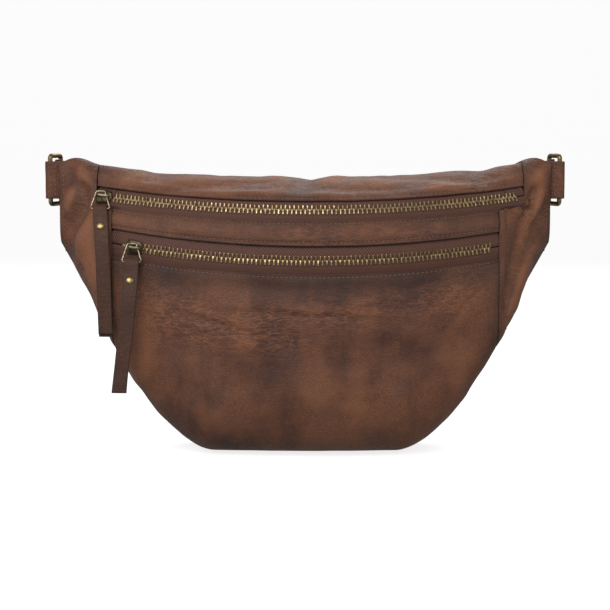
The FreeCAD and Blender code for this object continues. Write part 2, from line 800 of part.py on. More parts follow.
def right_strap():
    """Long strap with five holes, folded behind the bag in three layers."""
    path = strap_root(1)
    for layer, (start, stop) in enumerate(STRAP_FOLDS):
        y = STRAP_Y + layer * STRAP_PITCH
        path += [V(start, y, 0), V(stop, y, 0)]
        if layer < len(STRAP_FOLDS) - 1:
            turn = 1 if stop > start else -1
            path += turn_back(stop + turn * STRAP_TURN, y, turn)
    strap = strap_band(path, 1)
    through = 2 * STRAP_LEATHER / 3
    for x in spread(*STRAP_HOLES, 5):
        start = V(x, STRAP_Y + 2 * STRAP_PITCH - through, strap_z(x))
        strap = strap.cut(Part.makeCylinder(STRAP_HOLE_RADIUS, 2 * through, start, V(0, 1, 0)))
    return cut_rivet_holes(strap, 1)


def left_strap():
    """Short strap, folded round the buckle's bar at its end."""
    radius = BUCKLE_WIRE + FOLD_ROOM + STRAP_LEATHER / 2
    path = strap_root(-1) + [V(x, STRAP_Y + y, 0) for x, y in BUCKLE_RUN]
    arc = spread(-math.pi / 2, math.pi / 2, 9)
    path += [V(BUCKLE_X + radius * math.cos(a), BUCKLE_Y + radius * math.sin(a), 0) for a in arc]
    path += [V(x, STRAP_Y + y, 0) for x, y in BUCKLE_RETURN]
    length, depth, height = PRONG_SLOT
    corner = V(BUCKLE_X - 6, BUCKLE_Y - depth / 2, strap_z(BUCKLE_X) - height / 2)
    strap = strap_band(path, -1).cut(Part.makeBox(length, depth, height, corner))
    strap = strap.cut(rivet_hole(buckle_rivet_place(), V(0, 1, 0)))
    return cut_rivet_holes(strap, -1)


def root_rivet_places(side):
    """Middles of the two rivets that close a strap's fold at the ring."""
    x = side * ROOT_RIVET_X
    y = STRAP_Y - ROOT_RIVET_DEPTH
    half = ROOT_RIVET_APART / 2
    return [V(x, y, strap_z(x) + lift) for lift in (-half, half)]


def cut_rivet_holes(strap, side):
    """The strap with the holes of its root rivets."""
    for place in root_rivet_places(side):
        strap = strap.cut(rivet_hole(place, V(0, 1, 0)))
    return strap


def root_rivets(side):
    """The rivets at a strap's fold."""
    reach = ROOT_RIVET_DEPTH + STRAP_LEATHER / 2 + RIVET_PLAY
    places = root_rivet_places(side)
    rivets = [rivet(place, V(0, 1, 0), reach, RIVET_SHAFT, RIVET_CAP) for place in places]
    return Part.makeCompound(rivets)


def buckle_rivet_place():
    """Middle of the rivet that closes the strap's fold at the buckle."""
    return V(BUCKLE_RIVET_X, STRAP_Y + BUCKLE_RIVET_IN, strap_z(BUCKLE_RIVET_X))


def buckle_rivet():
    """The rivet that closes the strap's fold at the buckle."""
    reach = BUCKLE_RIVET_IN + STRAP_LEATHER / 2 + RIVET_PLAY
    return rivet(buckle_rivet_place(), V(0, 1, 0), reach, RIVET_SHAFT, RIVET_CAP)


def buckle_frame():
    """Rectangular buckle frame whose left bar carries the strap and the prong."""
    y = BUCKLE_Y
    low = strap_z(BUCKLE_X) - BUCKLE_HEIGHT / 2
    high = low + BUCKLE_HEIGHT
    far = BUCKLE_X + BUCKLE_LENGTH
    points = [V(BUCKLE_X, y, low), V(BUCKLE_X, y, high), V(far, y, high), V(far, y, low)]
    return bent_wire(points, BUCKLE_BEND, BUCKLE_WIRE, True)


def buckle_prong():
    """Prong with an eye round the bar, resting on the outside of the far bar."""
    z = strap_z(BUCKLE_X)
    up = V(0, 0, 1)
    eye = Part.makeCylinder(PRONG_EYE, PRONG_EYE, V(BUCKLE_X, BUCKLE_Y, z - PRONG_EYE / 2), up)
    rod_y = BUCKLE_Y + BUCKLE_WIRE + PRONG_RADIUS
    start = V(BUCKLE_X, rod_y - PRONG_START_IN, z)
    tip = V(BUCKLE_X + BUCKLE_LENGTH + PRONG_PAST, rod_y + PRONG_TIP_OUT, z)
    rod = Part.makeCylinder(PRONG_RADIUS, (tip - start).Length, start, tip - start)
    bore_start = V(BUCKLE_X, BUCKLE_Y, z - PRONG_EYE)
    bore = Part.makeCylinder(BUCKLE_WIRE + PRONG_PLAY, 2 * PRONG_EYE, bore_start, up)
    return eye.fuse(rod).cut(bore).removeSplitter()


def strap_keeper():
    """Leather keeper round the short strap."""
    x = KEEPER_X - KEEPER_WIDTH / 2
    room_in, room_out, room_side = KEEPER_ROOM
    near = STRAP_Y - STRAP_LEATHER / 2 - room_in
    depth = STRAP_LEATHER + room_in + room_out
    height = STRAP_WIDTH + 2 * room_side
    low = strap_z(KEEPER_X) - height / 2
    start = V(x, near - LEATHER, low - LEATHER)
    outer = Part.makeBox(KEEPER_WIDTH, depth + 2 * LEATHER, height + 2 * LEATHER, start)
    hollow = Part.makeBox(KEEPER_WIDTH + 2, depth, height, V(x - 1, near, low))
    return outer.cut(hollow)


# ---------------------------------------------------------------- the whole bag
def build():
    """Every sub-part, by node name."""
    whole_top = top_sheet()
    main_low, main_high = MAIN_ZIP["ends"]
    flap_low, flap_high = FLAP_X
    pocket_low, pocket_high = POCKET_ZIP["ends"]
    main_pull = puller_frame(MAIN_ZIP, MAIN_SLIDER_X, MAIN_HANG)
    pocket_pull = puller_frame(POCKET_ZIP, POCKET_SLIDER_X, POCKET_HANG)
    nodes = {
        "front_panel": front_panel(),
        "middle_band": middle_band(),
        "left_wing_panel": wing_panel(-1),
        "right_wing_panel": wing_panel(1),
        "top_panel_rear": top_rear(whole_top),
        "top_panel_flap": top_flap(whole_top),
        "back_panel": back_panel(),
        "pocket_lining": pocket_lining(),
        "main_lining_front": main_lining_front(),
        "main_lining_back": main_lining_back(),
        "main_tape_lower": tape(MAIN_ZIP, -1, main_low, main_high),
        "main_tape_upper": tape(MAIN_ZIP, 1, flap_low, flap_high),
        "main_tape_left_end": tape(MAIN_ZIP, 1, main_low, flap_low - SEAM_GAP),
        "main_tape_right_end": tape(MAIN_ZIP, 1, flap_high + SEAM_GAP, main_high),
        "main_teeth_lower": teeth(MAIN_ZIP, -1, main_low + TEETH_START, main_high - TEETH_END),
        "main_teeth_upper": teeth(MAIN_ZIP, 1, flap_low + 1, flap_high - 1),
        "main_stops": stops(MAIN_ZIP),
        "pocket_tape_upper": tape(POCKET_ZIP, 1, pocket_low, pocket_high),
        "pocket_tape_lower": tape(POCKET_ZIP, -1, pocket_low, pocket_high),
        "pocket_teeth_upper": teeth(POCKET_ZIP, 1, pocket_low + TEETH_START, pocket_high - TEETH_END),
        "pocket_teeth_lower": teeth(POCKET_ZIP, -1, pocket_low + TEETH_START, pocket_high - TEETH_END),
        "pocket_stops": stops(POCKET_ZIP),
        "main_slider": slider(MAIN_ZIP, MAIN_SLIDER_X),
        "main_puller_ring": puller_ring(main_pull),
        "main_pull_tab": pull_tab(main_pull, MAIN_TAB["lengths"], MAIN_TAB["bend"], MAIN_TAB["skew"]),
        "main_tab_rivet": tab_rivet(main_pull, MAIN_TAB["skew"]),
        "pocket_slider": slider(POCKET_ZIP, POCKET_SLIDER_X),
        "pocket_puller_ring": puller_ring(pocket_pull),
        "pocket_pull_tab": pull_tab(pocket_pull, POCKET_TAB["lengths"], POCKET_TAB["bend"],
                                    POCKET_TAB["skew"]),
        "pocket_tab_rivet": tab_rivet(pocket_pull, POCKET_TAB["skew"]),
        "left_ring_loop": ring_loop(-1),
        "right_ring_loop": ring_loop(1),
        "left_wing_ring": wing_ring(-1),
        "right_wing_ring": wing_ring(1),
        "left_strap": left_strap(),
        "left_strap_rivets": root_rivets(-1),
        "buckle_strap_rivet": buckle_rivet(),
        "buckle_frame": buckle_frame(),
        "buckle_prong": buckle_prong(),
        "strap_keeper": strap_keeper(),
        "right_strap": right_strap(),
        "right_strap_rivets": root_rivets(1),
    }
    return nodes


def main():
    os.makedirs("parts", exist_ok=True)
    for name, shape in build().items():
        shape.exportStep("parts/" + name + ".step")
        box = shape.BoundBox
        state = "ok" if shape.isValid() and shape.Volume > 0 else "BAD"
        print(f"{name:22s} {state} v={shape.Volume:9.1f} solids={len(shape.Solids)} "
              f"x {box.XMin:.1f}..{box.XMax:.1f} y {box.YMin:.1f}..{box.YMax:.1f} "
              f"z {box.ZMin:.1f}..{box.ZMax:.1f}")


main()
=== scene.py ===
"""Leather waist pack: the sewn leather, zips, pulls, rings and straps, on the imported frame.

Lengths in the making of a piece are in millimetres; a mesh is written in metres.
+X is the right of the front view, -Y the front and +Z up.
"""
import math

import bpy
import numpy as np
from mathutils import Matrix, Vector


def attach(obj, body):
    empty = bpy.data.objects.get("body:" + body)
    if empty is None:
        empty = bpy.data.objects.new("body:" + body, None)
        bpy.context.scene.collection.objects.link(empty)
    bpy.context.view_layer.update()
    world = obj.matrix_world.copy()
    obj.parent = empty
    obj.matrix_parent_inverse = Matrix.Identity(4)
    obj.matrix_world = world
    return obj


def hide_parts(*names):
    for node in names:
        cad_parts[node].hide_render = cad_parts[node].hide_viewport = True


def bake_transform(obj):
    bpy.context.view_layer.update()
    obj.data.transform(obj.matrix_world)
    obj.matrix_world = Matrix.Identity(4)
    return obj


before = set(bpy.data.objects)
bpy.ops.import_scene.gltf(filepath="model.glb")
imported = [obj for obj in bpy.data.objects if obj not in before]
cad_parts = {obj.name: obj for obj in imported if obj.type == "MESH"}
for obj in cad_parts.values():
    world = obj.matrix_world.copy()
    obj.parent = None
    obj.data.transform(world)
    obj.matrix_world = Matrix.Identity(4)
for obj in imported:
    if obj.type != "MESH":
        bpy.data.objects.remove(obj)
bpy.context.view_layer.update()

# ---------------------------------------------------------------- front panel
# One piece of cowhide, waxed and tumbled, cut to the shape of the bag's face. It starts at
# the seam along the back's foot, turns up round the belly and is folded over and sewn
# along the lower edge of the pocket zip. It sags and creases below that edge.
LEATHER = 1.4
PANEL_HALF = 121.1
WING_LINE = 121.5
BASE_HALF = 58.0
BASE_SINK = 0.6
CORNER_RISE = 66.0
CORNER_POWER = 1.75
BELLY_POWER = 3.7
BELLY_SHARE = 0.55
BELLY_BULGE = 1.2
BACK_Y = 28.0
BACK_CURL = 10.4
WING_END = 158.0
SEAM_STEP = 1.5
LEATHER_LIFT = 1.8
PANEL_EDGE = -8.0
POCKET_ZIP = {"x": 6.0, "y": -46.0, "z": 125.3, "radius": 307.0, "rise": 20.0, "cone": 22.0,
              "ends": (-111.5, 121.0)}
PANEL_STEP = 1.3
PANEL_STITCH_IN = 2.2
# painted shade on the face: its most, at the pocket zip's lower edge, and how far down it fades in millimetres
PAINTED_SHADE_MOST = 0.50
PAINTED_SHADE_REACH = 17.0
# creases of the face: across, up, turn in degrees, length, width, height
PANEL_FOLDS = [(2, 92.0, -3, 30, 1.5, -0.55), (4, 95.5, -3, 36, 2.6, 0.50),
               (-30, 88.0, -9, 30, 1.9, 0.35), (-52, 86.0, -16, 26, 2.2, -0.45),
               (-54, 90.0, -16, 26, 2.2, 0.45), (-84, 96.0, -38, 17, 1.6, -0.40),
               (-88, 91.0, -44, 17, 1.6, 0.40), (-80, 90.0, -36, 16, 1.5, 0.38),
               (-73, 84.0, -30, 18, 1.7, -0.38), (-92, 84.0, -52, 15, 1.6, -0.35),
               (44, 101.0, 9, 34, 2.4, 0.35), (62, 106.0, 20, 26, 2.2, -0.35),
               (92, 104.0, 38, 20, 2.4, 0.45), (101, 98.0, 46, 20, 2.4, -0.40),
               (-20, 108.0, 0, 95, 6.0, -0.80), (-98, 66.0, 62, 34, 7.0, 0.70),
               (88, 60.0, -60, 44, 8.0, 0.80), (30, 45.0, 86, 50, 9.0, 0.60),
               (-38, 40.0, 93, 48, 9.0, -0.60), (66, 44.0, 80, 40, 8.0, -0.50)]
PANEL_WRINKLES = [(-60, 86, -12, 44, 11, 1.0), (-86, 96, -40, 22, 12, 1.0),
                  (0, 92, -3, 50, 7, 0.8), (96, 108, 40, 26, 14, 0.9),
                  (-30, 78, -6, 40, 6, 0.5), (50, 100, 10, 40, 8, 0.5)]
# creased leather's browns, linear light
BROWN = (0.128, 0.045, 0.026)
TAN = (0.260, 0.100, 0.045)
UMBER = (0.058, 0.024, 0.017)
ASH = (0.150, 0.085, 0.066)
# near-black brown of painted shade, which the 'shade' fact mixes into the hide
PAINTED_SHADE_BROWN = (0.030, 0.015, 0.012)
GRAIN_CELL = 1.15


def zip_axes(line, angle):
    """Unit vectors of a zip at an arc angle: radial (sin a, -cos a cos r, -cos a sin r) for
    a rise r, travel at right angles to it in the arc's plane, and across and outward, which
    are the radial and the arc's axis turned by the cone's lean."""
    rise = math.radians(line["rise"])
    cone = math.radians(line["cone"])
    s, c = np.sin(angle), np.cos(angle)
    radial = np.stack([s, -c * math.cos(rise), -c * math.sin(rise)], -1)
    travel = np.stack([c, s * math.cos(rise), s * math.sin(rise)], -1)
    axis = np.array([0.0, -math.sin(rise), math.cos(rise)])
    up = axis * math.cos(cone) - radial * math.sin(cone)
    out = radial * math.cos(cone) + axis * math.sin(cone)
    return radial, travel, up, out


def zip_point(line, angle, across=0.0, lift=0.0):
    """Arc centre + radius * radial + across * up + lift * out."""
    angle, across, lift = np.broadcast_arrays(angle, across, lift)
    rise = math.radians(line["rise"])
    reach = line["radius"]
    centre = np.array([line["x"], line["y"] + reach * math.cos(rise), line["z"] + reach * math.sin(rise)])
    radial, _, up, out = zip_axes(line, angle)
    return centre + radial * reach + up * across[..., None] + out * lift[..., None]


def zip_angle(line, x, across=0.0):
    """Arc angle at which the line 'across' the zip has this X: arcsin of X over its reach."""
    return np.arcsin((x - line["x"]) / (line["radius"] - across * math.sin(math.radians(line["cone"]))))


def rail(line, across, x):
    """The leather's edge beside a zip at each X: the zip's point, lifted off the tape."""
    x = np.asarray(x, float)
    angle = zip_angle(line, x, across)
    point = zip_point(line, angle, across)
    out = zip_axes(line, angle)[3]
    return np.stack([x, point[..., 1] + out[..., 1] * LEATHER_LIFT,
                     point[..., 2] + out[..., 2] * LEATHER_LIFT], -1)


def bottom_z(x):
    """Lower outline: 0 along the base, then rise * (share of the way to the wing) ** power."""
    past = np.maximum(0.0, (np.abs(x) - BASE_HALF) / (WING_LINE - BASE_HALF))
    return CORNER_RISE * past ** CORNER_POWER


def back_y(x):
    """The back's face: straight in the middle, curling forward with the 4th power of X."""
    return BACK_Y - BACK_CURL * (np.abs(x) / WING_END) ** 4


def front_section(x, count=70):
    """Section at each X: a quarter superellipse from the foot seam to the belly,
    then a straight run with a sine bulge up to the pocket zip's edge."""
    x = np.asarray(x, float)[:, None]
    edge = rail(POCKET_ZIP, PANEL_EDGE, x[:, 0])
    edge_y, edge_z = edge[:, 1:2], edge[:, 2:3]
    low = bottom_z(x) - BASE_SINK
    seam_y = back_y(x) - SEAM_STEP
    belly_z = low + BELLY_SHARE * (edge_z - low)
    turn = np.linspace(0.0, math.pi / 2, count) ** 1.6 / (math.pi / 2) ** 0.6
    forward = np.sin(turn) ** (2 / BELLY_POWER)
    down = np.maximum(0.0, np.cos(turn)) ** (2 / BELLY_POWER)
    y = seam_y - (seam_y - edge_y) * forward
    z = belly_z - (belly_z - low) * down
    part = np.linspace(0.0, 1.0, count // 2)[1:]
    y = np.concatenate([y, edge_y - BELLY_BULGE * np.sin(math.pi * part)], 1)
    z = np.concatenate([z, belly_z + (edge_z - belly_z) * part], 1)
    return np.stack([np.broadcast_to(x, y.shape), y, z], -1)


def steps(length, step):
    """Places from 0 to 1 along a side: even ones 'step' apart, with closer ones at its two
    ends, where an edge is rounded."""
    near = np.array([0.0, 0.10, 0.30, 0.65]) / length
    inner = np.linspace(near[-1], 1 - near[-1], max(2, int(length / step)))
    return np.concatenate([near[:-1], inner, 1 - near[:-1][::-1]])


def at_shares(sections, shares):
    """Points at the given shares of each section's length, straight between its points."""
    gaps = np.linalg.norm(np.diff(sections, axis=1), axis=-1)
    run = np.concatenate([np.zeros((len(gaps), 1)), np.cumsum(gaps, 1)], 1)
    run /= run[:, -1:]
    shares = np.broadcast_to(shares, (len(run), np.shape(shares)[-1]))
    k = np.clip((run[:, None, :] <= shares[:, :, None]).sum(-1) - 1, 0, run.shape[1] - 2)
    before = np.take_along_axis(run, k, 1)
    after = np.take_along_axis(run, k + 1, 1)
    weight = ((shares - before) / (after - before))[..., None]
    start = np.take_along_axis(sections, k[..., None], 1)
    stop = np.take_along_axis(sections, k[..., None] + 1, 1)
    return start + (stop - start) * weight


def face_normals(grid):
    """Unit normals of a grid: the cross product of its two gradients."""
    cross = np.cross(np.gradient(grid, axis=0), np.gradient(grid, axis=1))
    return cross / np.maximum(np.linalg.norm(cross, axis=-1, keepdims=True), 1e-9)


def run_length(grid, axis):
    """Distance along one side of a grid from its first row."""
    gaps = np.linalg.norm(np.diff(grid, axis=axis), axis=-1)
    start = np.zeros_like(np.take(gaps, [0], axis))
    return np.concatenate([start, np.cumsum(gaps, axis)], axis)


def folds(a, b, rows):
    """Sum of long bumps: height * exp(-(along/length)^2 - (across/width)^2) for each row."""
    height = np.zeros(np.broadcast(a, b).shape)
    for x, y, turn, length, width, rise in rows:
        c, s = math.cos(math.radians(turn)), math.sin(math.radians(turn))
        along = ((a - x) * c + (b - y) * s) / length
        across = ((b - y) * c - (a - x) * s) / width
        height = height + rise * np.exp(-along ** 2 - across ** 2)
    return height


def ripple(a, b, size, seed):
    """Smooth uneven height of about -1 to 1: a mean of 24 cosine waves of seeded direction
    and phase, each 'size' long or longer."""
    rng = np.random.default_rng(seed)
    turn = rng.uniform(0, 2 * math.pi, 24)
    rate = 2 * math.pi / (size * rng.uniform(1.0, 2.6, 24))
    phase = rng.uniform(0, 2 * math.pi, 24)
    waves = rate * (np.cos(turn) * a[..., None] + np.sin(turn) * b[..., None]) + phase
    return np.cos(waves).sum(-1) / 6.0


def edge_fade(grid, reach):
    """0 on a grid's edges, rising to 1 at 'reach' inside them."""
    along, across = run_length(grid, 0), run_length(grid, 1)
    rim = np.minimum(np.minimum(along, along[-1:] - along), np.minimum(across, across[:, -1:] - across))
    part = np.clip(rim / reach, 0, 1)
    return part * part * (3 - 2 * part)


def sheet_faces(rows, columns, start=0):
    """Quads of a grid of points, numbered row by row."""
    index = start + np.arange(rows * columns).reshape(rows, columns)
    return np.stack([index[:-1, :-1], index[1:, :-1], index[1:, 1:], index[:-1, 1:]], -1).reshape(-1, 4)


def solid_sheet(grid, thickness):
    """A sheet with rounded edges. Its outer face is the grid less a drop h - sqrt(h^2 -
    (h - d)^2) at a distance d from the edge, for half a thickness h; its inner face mirrors
    that, and the two share their border. Returns points, quads and per-point facts."""
    rows, columns = grid.shape[:2]
    along, across = run_length(grid, 0), run_length(grid, 1)
    rim = np.minimum(np.minimum(along, along[-1:] - along), np.minimum(across, across[:, -1:] - across))
    half = thickness / 2
    drop = half - np.sqrt(np.maximum(0, half ** 2 - (half - np.minimum(rim, half)) ** 2))
    normal = face_normals(grid)
    outer = grid - normal * drop[..., None]
    inner = grid - normal * (thickness - drop)[..., None]
    top = np.arange(rows * columns).reshape(rows, columns)
    low = top + rows * columns
    for edge in (np.s_[0], np.s_[-1], np.s_[:, 0], np.s_[:, -1]):
        low[edge] = top[edge]
    upper = np.stack([top[:-1, :-1], top[1:, :-1], top[1:, 1:], top[:-1, 1:]], -1).reshape(-1, 4)
    under = np.stack([low[:-1, :-1], low[:-1, 1:], low[1:, 1:], low[1:, :-1]], -1).reshape(-1, 4)
    points = np.concatenate([outer.reshape(-1, 3), inner.reshape(-1, 3)])
    faces = np.concatenate([upper, under])
    facts = {"flat": np.tile(np.stack([along, across, 0 * along], -1).reshape(-1, 3), (2, 1)),
             "rim": np.tile(rim.ravel(), 2)}
    used, faces = np.unique(faces, return_inverse=True)
    faces = faces.reshape(-1, 4)
    return points[used], faces, {name: value[used] for name, value in facts.items()}, used


def outward_faces(points, faces):
    """Quads turned so that a closed part's volume is positive."""
    corners = points[faces]
    volume = np.einsum("ij,ij->", corners[:, 0], np.cross(corners[:, 1], corners[:, 2]))
    volume += np.einsum("ij,ij->", corners[:, 0], np.cross(corners[:, 2], corners[:, 3]))
    return points, faces if volume > 0 else faces[:, ::-1]


def make_piece(name, points, faces, facts=None):
    """A smooth mesh object in metres from quads in millimetres, faces outwards; a fact is an
    attribute that the material reads."""
    points, faces = outward_faces(points, faces)
    mesh = bpy.data.meshes.new(name)
    mesh.from_pydata((points * 0.001).tolist(), [], faces.tolist())
    mesh.polygons.foreach_set("use_smooth", np.ones(len(faces), bool))
    for key, value in (facts or {}).items():
        flat = value.ndim == 1
        layer = mesh.attributes.new(key, "FLOAT" if flat else "FLOAT_VECTOR", "POINT")
        layer.data.foreach_set("value" if flat else "vector", value.astype(np.float32).ravel())
    mesh.validate()
    mesh.update()
    piece = bpy.data.objects.new(name, mesh)
    bpy.context.scene.collection.objects.link(piece)
    return piece


def dress(piece, material, body=None, nodes=()):
    """Gives a piece its material and slot, the body it rides on and the nodes it stands for."""
    piece.data.materials.append(material)
    if body:
        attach(piece, body)
    if nodes:
        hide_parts(*nodes)
    return piece


def leather_piece(name, grid, thickness, height, wrinkle, shade=0.0):
    """A leather sheet from its outer face, pushed out along its normals by 'height'. The
    facts 'crest', 'wrinkle' and 'shade' say where it is pushed out, finely creased and
    darkened with painted shade."""
    face = grid + face_normals(grid) * height[..., None]
    points, faces, facts, used = solid_sheet(face, thickness)
    facts["crest"] = np.tile(height.ravel(), 2)[used]
    facts["wrinkle"] = np.clip(np.tile((height * 0 + wrinkle).ravel(), 2)[used], 0, 1)
    facts["shade"] = np.tile((height * 0 + shade).ravel(), 2)[used]
    return make_piece(name, points, faces, facts), face


class Value:
    """A value inside a material. Arithmetic on it adds Math nodes."""

    def __init__(self, finish, socket):
        self.finish, self.socket = finish, socket

    def math(self, operation, first, second=None):
        inputs = {0: first} if second is None else {0: first, 1: second}
        return self.finish.node("ShaderNodeMath", {"operation": operation}, inputs)

    def __add__(self, other): return self.math("ADD", self, other)
    def __radd__(self, other): return self.math("ADD", other, self)
    def __sub__(self, other): return self.math("SUBTRACT", self, other)
    def __rsub__(self, other): return self.math("SUBTRACT", other, self)
    def __mul__(self, other): return self.math("MULTIPLY", self, other)
    def __rmul__(self, other): return self.math("MULTIPLY", other, self)
    def __abs__(self): return self.math("ABSOLUTE", self)

    def clamp(self):
        """The value held between 0 and 1."""
        return self.finish.node("ShaderNodeClamp", {}, {"Value": self})

    def between(self, low, high):
        """0 below 'low', 1 above 'high', smooth between them."""
        return self.finish.node("ShaderNodeMapRange", {"interpolation_type": "SMOOTHSTEP"},
                                {"Value": self, "From Min": low, "From Max": high})


class Finish:
    """A material with one Principled shader."""

    def __init__(self, name, **constants):
        self.material = bpy.data.materials.new(name)
        self.material.use_nodes = True
        self.tree = self.material.node_tree
        self.shader = self.tree.nodes["Principled BSDF"]
        self.drive(**constants)

    def drive(self, **inputs):
        """Sets or links the shader's sockets; Base_Color is its Base Color."""
        for name, value in inputs.items():
            self.connect(self.shader.inputs[name.replace("_", " ")], value)

    def connect(self, socket, value):
        if isinstance(value, Value):
            self.tree.links.new(value.socket, socket)
        elif isinstance(value, tuple) and socket.type == "RGBA":
            socket.default_value = value + (1.0,)
        else:
            socket.default_value = value

    def node(self, kind, settings, inputs, output=0):
        """Adds a node: its settings first, then its inputs; returns one of its outputs."""
        node = self.tree.nodes.new(kind)
        for name, value in settings.items():
            setattr(node, name, value)
        for name, value in inputs.items():
            self.connect(node.inputs[name], value)
        return Value(self, node.outputs[output])

    def place(self, stretch=None, turn=None):
        """Object coordinates, stretched and turned."""
        spot = self.node("ShaderNodeTexCoord", {}, {}, "Object")
        if stretch or turn:
            inputs = {"Vector": spot, "Scale": stretch or (1, 1, 1), "Rotation": turn or (0, 0, 0)}
            spot = self.node("ShaderNodeMapping", {"vector_type": "POINT"}, inputs)
        return spot

    def fact(self, name, vector=False):
        """An attribute of the mesh."""
        output = "Vector" if vector else "Fac"
        return self.node("ShaderNodeAttribute", {"attribute_name": name}, {}, output)

    def noise(self, spot, size, detail=3.0, rough=0.55, warp=0.0):
        """Cloudy noise whose patches are 'size' millimetres."""
        inputs = {"Vector": spot, "Scale": 1000.0 / size, "Detail": detail, "Roughness": rough,
                  "Distortion": warp}
        return self.node("ShaderNodeTexNoise", {}, inputs)

    def cells(self, spot, size):
        """Cell pattern of 'size' millimetres: distance to a cell's edge."""
        return self.node("ShaderNodeTexVoronoi", {"feature": "DISTANCE_TO_EDGE"},
                         {"Vector": spot, "Scale": 1000.0 / size})

    def mix(self, share, first, second):
        """Colour between two colours."""
        return self.node("ShaderNodeMix", {"data_type": "RGBA"}, {0: share, 6: first, 7: second}, 2)

    def bump(self, height):
        """Normals of a height in millimetres."""
        return self.node("ShaderNodeBump", {}, {"Height": height, "Distance": 0.001})


def leather(name, brown=BROWN, gloss=0.40, grain=1.0, worn=0.5, pale=1.0):
    """Waxed cowhide: pebbled grain, cloudy and streaky dye, pale wax where it is pulled."""
    m = Finish(name, Specular_IOR_Level=0.5, Sheen_Weight=0.05)
    spot = m.place()
    cloud = m.noise(spot, 60.0, 4.0, 0.6)
    streak = m.noise(m.place(stretch=(1.0, 1.0, 0.22)), 16.0, 3.0, 0.55, 0.4)
    fine = m.noise(spot, 0.5, 2.0)
    wander = m.node("ShaderNodeVectorMath", {"operation": "MULTIPLY_ADD"},
                    {0: m.node("ShaderNodeTexNoise", {}, {"Vector": spot, "Scale": 900.0}, "Color"),
                     1: (0.0006, 0.0006, 0.0006), 2: spot})
    pebble = m.cells(wander, GRAIN_CELL).between(0.02, 0.34)
    pore = m.noise(spot, 3.5, 3.0)
    thin = m.noise(m.place(stretch=(0.22, 0.5, 1.0), turn=(0.0, 0.30, 0.0)), 2.6, 3.0, 0.55, 0.7)
    line = (1.0 - abs(thin * 2.0 - 1.0) * 7.0).clamp()
    crackle = m.cells(m.place(stretch=(0.30, 0.6, 1.0), turn=(0.0, 0.2, 0.0)), 3.2).between(0.0, 0.09)
    wrinkle = m.fact("wrinkle")
    crest = m.fact("crest")
    rim = m.fact("rim")
    shade = m.fact("shade")
    mark = (line * wrinkle).clamp()
    crack = ((1.0 - crackle) * wrinkle).clamp()
    tan = tuple(c * pale for c in TAN)
    colour = m.mix(cloud.between(0.36, 0.66), brown, tuple(c * 1.2 for c in tan))
    colour = m.mix((1.0 - cloud).between(0.50, 0.74) * 0.50, colour, UMBER)
    colour = m.mix(streak.between(0.46, 0.70) * 0.55, colour, tan)
    colour = m.mix((1.0 - streak).between(0.50, 0.74) * 0.50, colour, UMBER)
    ashen = m.noise(spot, 34.0, 3.0).between(0.54, 0.72)
    colour = m.mix(ashen * 0.40, colour, tuple(c * pale for c in ASH))
    colour = m.mix((1.0 - pebble) * 0.50, colour, tuple(c * 0.40 for c in brown))
    colour = m.mix((crest * 0.75).clamp() * worn, colour, tuple(c * 1.6 for c in tan))
    colour = m.mix((mark * 0.75 + crack * 0.45).clamp() * worn, colour, tuple(c * 1.7 for c in tan))
    colour = m.mix((1.0 - rim.between(0.0, 12.0)) * 0.30, colour, UMBER)
    # painted shade: the 'shade' fact darkens the hide towards a near-black brown
    colour = m.mix(shade.clamp(), colour, PAINTED_SHADE_BROWN)
    colour = m.mix((1.0 - rim.between(0.0, 1.1)) * 0.5, colour, tuple(c * 0.5 for c in brown))
    rough = gloss + cloud * 0.10 + (1.0 - pebble) * 0.16 + fine * 0.06 - mark * 0.05
    height = pebble * (0.120 * grain) + pore * 0.22 + fine * 0.012 + mark * 0.10 - crack * 0.07
    m.drive(Base_Color=colour, Roughness=rough.clamp(), Normal=m.bump(height))
    return m.material


hide = leather("waxed_brown_hide")

panel_x = -PANEL_HALF + 2 * PANEL_HALF * steps(2 * PANEL_HALF, PANEL_STEP)
panel_grid = at_shares(front_section(panel_x), steps(190.0, PANEL_STEP))
panel_grid[..., 2] = np.maximum(panel_grid[..., 2], 0.0)
px, pz = panel_grid[..., 0], panel_grid[..., 2]
hang = edge_fade(panel_grid, 9.0) * np.clip(pz / 12.0, 0, 1)
crush = folds(px, pz, PANEL_FOLDS) + 0.45 * ripple(px, pz, 26.0, 11) + 0.14 * ripple(px, pz, 9.0, 12)
sewn = run_length(panel_grid, 1)
sewn = sewn[:, -1:] - sewn
channel = -0.45 * np.exp(-((sewn - PANEL_STITCH_IN) / 0.8) ** 2)
# painted shade under the pocket zip: darkest at the sewn edge, fading unevenly down the face
painted_shade = PAINTED_SHADE_MOST * np.exp(-(sewn / PAINTED_SHADE_REACH) ** 2) * (1 + 0.35 * ripple(px, pz, 30.0, 13))
front_panel, panel_face = leather_piece("front_panel_leather", panel_grid, LEATHER, crush * hang + channel,
                                        folds(px, pz, PANEL_WRINKLES) + 0.12,
                                        painted_shade)
dress(front_panel, hide, "bag", ["front_panel"])

# ---------------------------------------------------------------- stitching
# Waxed brown thread in a lockstitch of 3 mm, sunk in the channel it pulls into the leather.
# Every leather edge beside a zip, and every wing seam, has one row.
STITCH = 2.9
THREAD = 0.34
THREAD_BROWN = (0.170, 0.075, 0.045)
thread = Finish("waxed_thread", Roughness=0.6)
thread.drive(Base_Color=thread.mix(thread.noise(thread.place(), 2.0), THREAD_BROWN,
                                   tuple(c * 1.9 for c in THREAD_BROWN)))


def even_line(line, step):
    """Points at equal distances along a line of points, with the unit directions there."""
    run = run_length(line[None], 1)[0]
    places = np.arange(step / 2, run[-1], step)
    spots = np.stack([np.interp(places, run, line[:, i]) for i in range(3)], -1)
    ahead = np.stack([np.interp(places + 0.5, run, line[:, i]) for i in range(3)], -1)
    ahead -= np.stack([np.interp(places - 0.5, run, line[:, i]) for i in range(3)], -1)
    return spots, ahead / np.linalg.norm(ahead, axis=-1, keepdims=True)


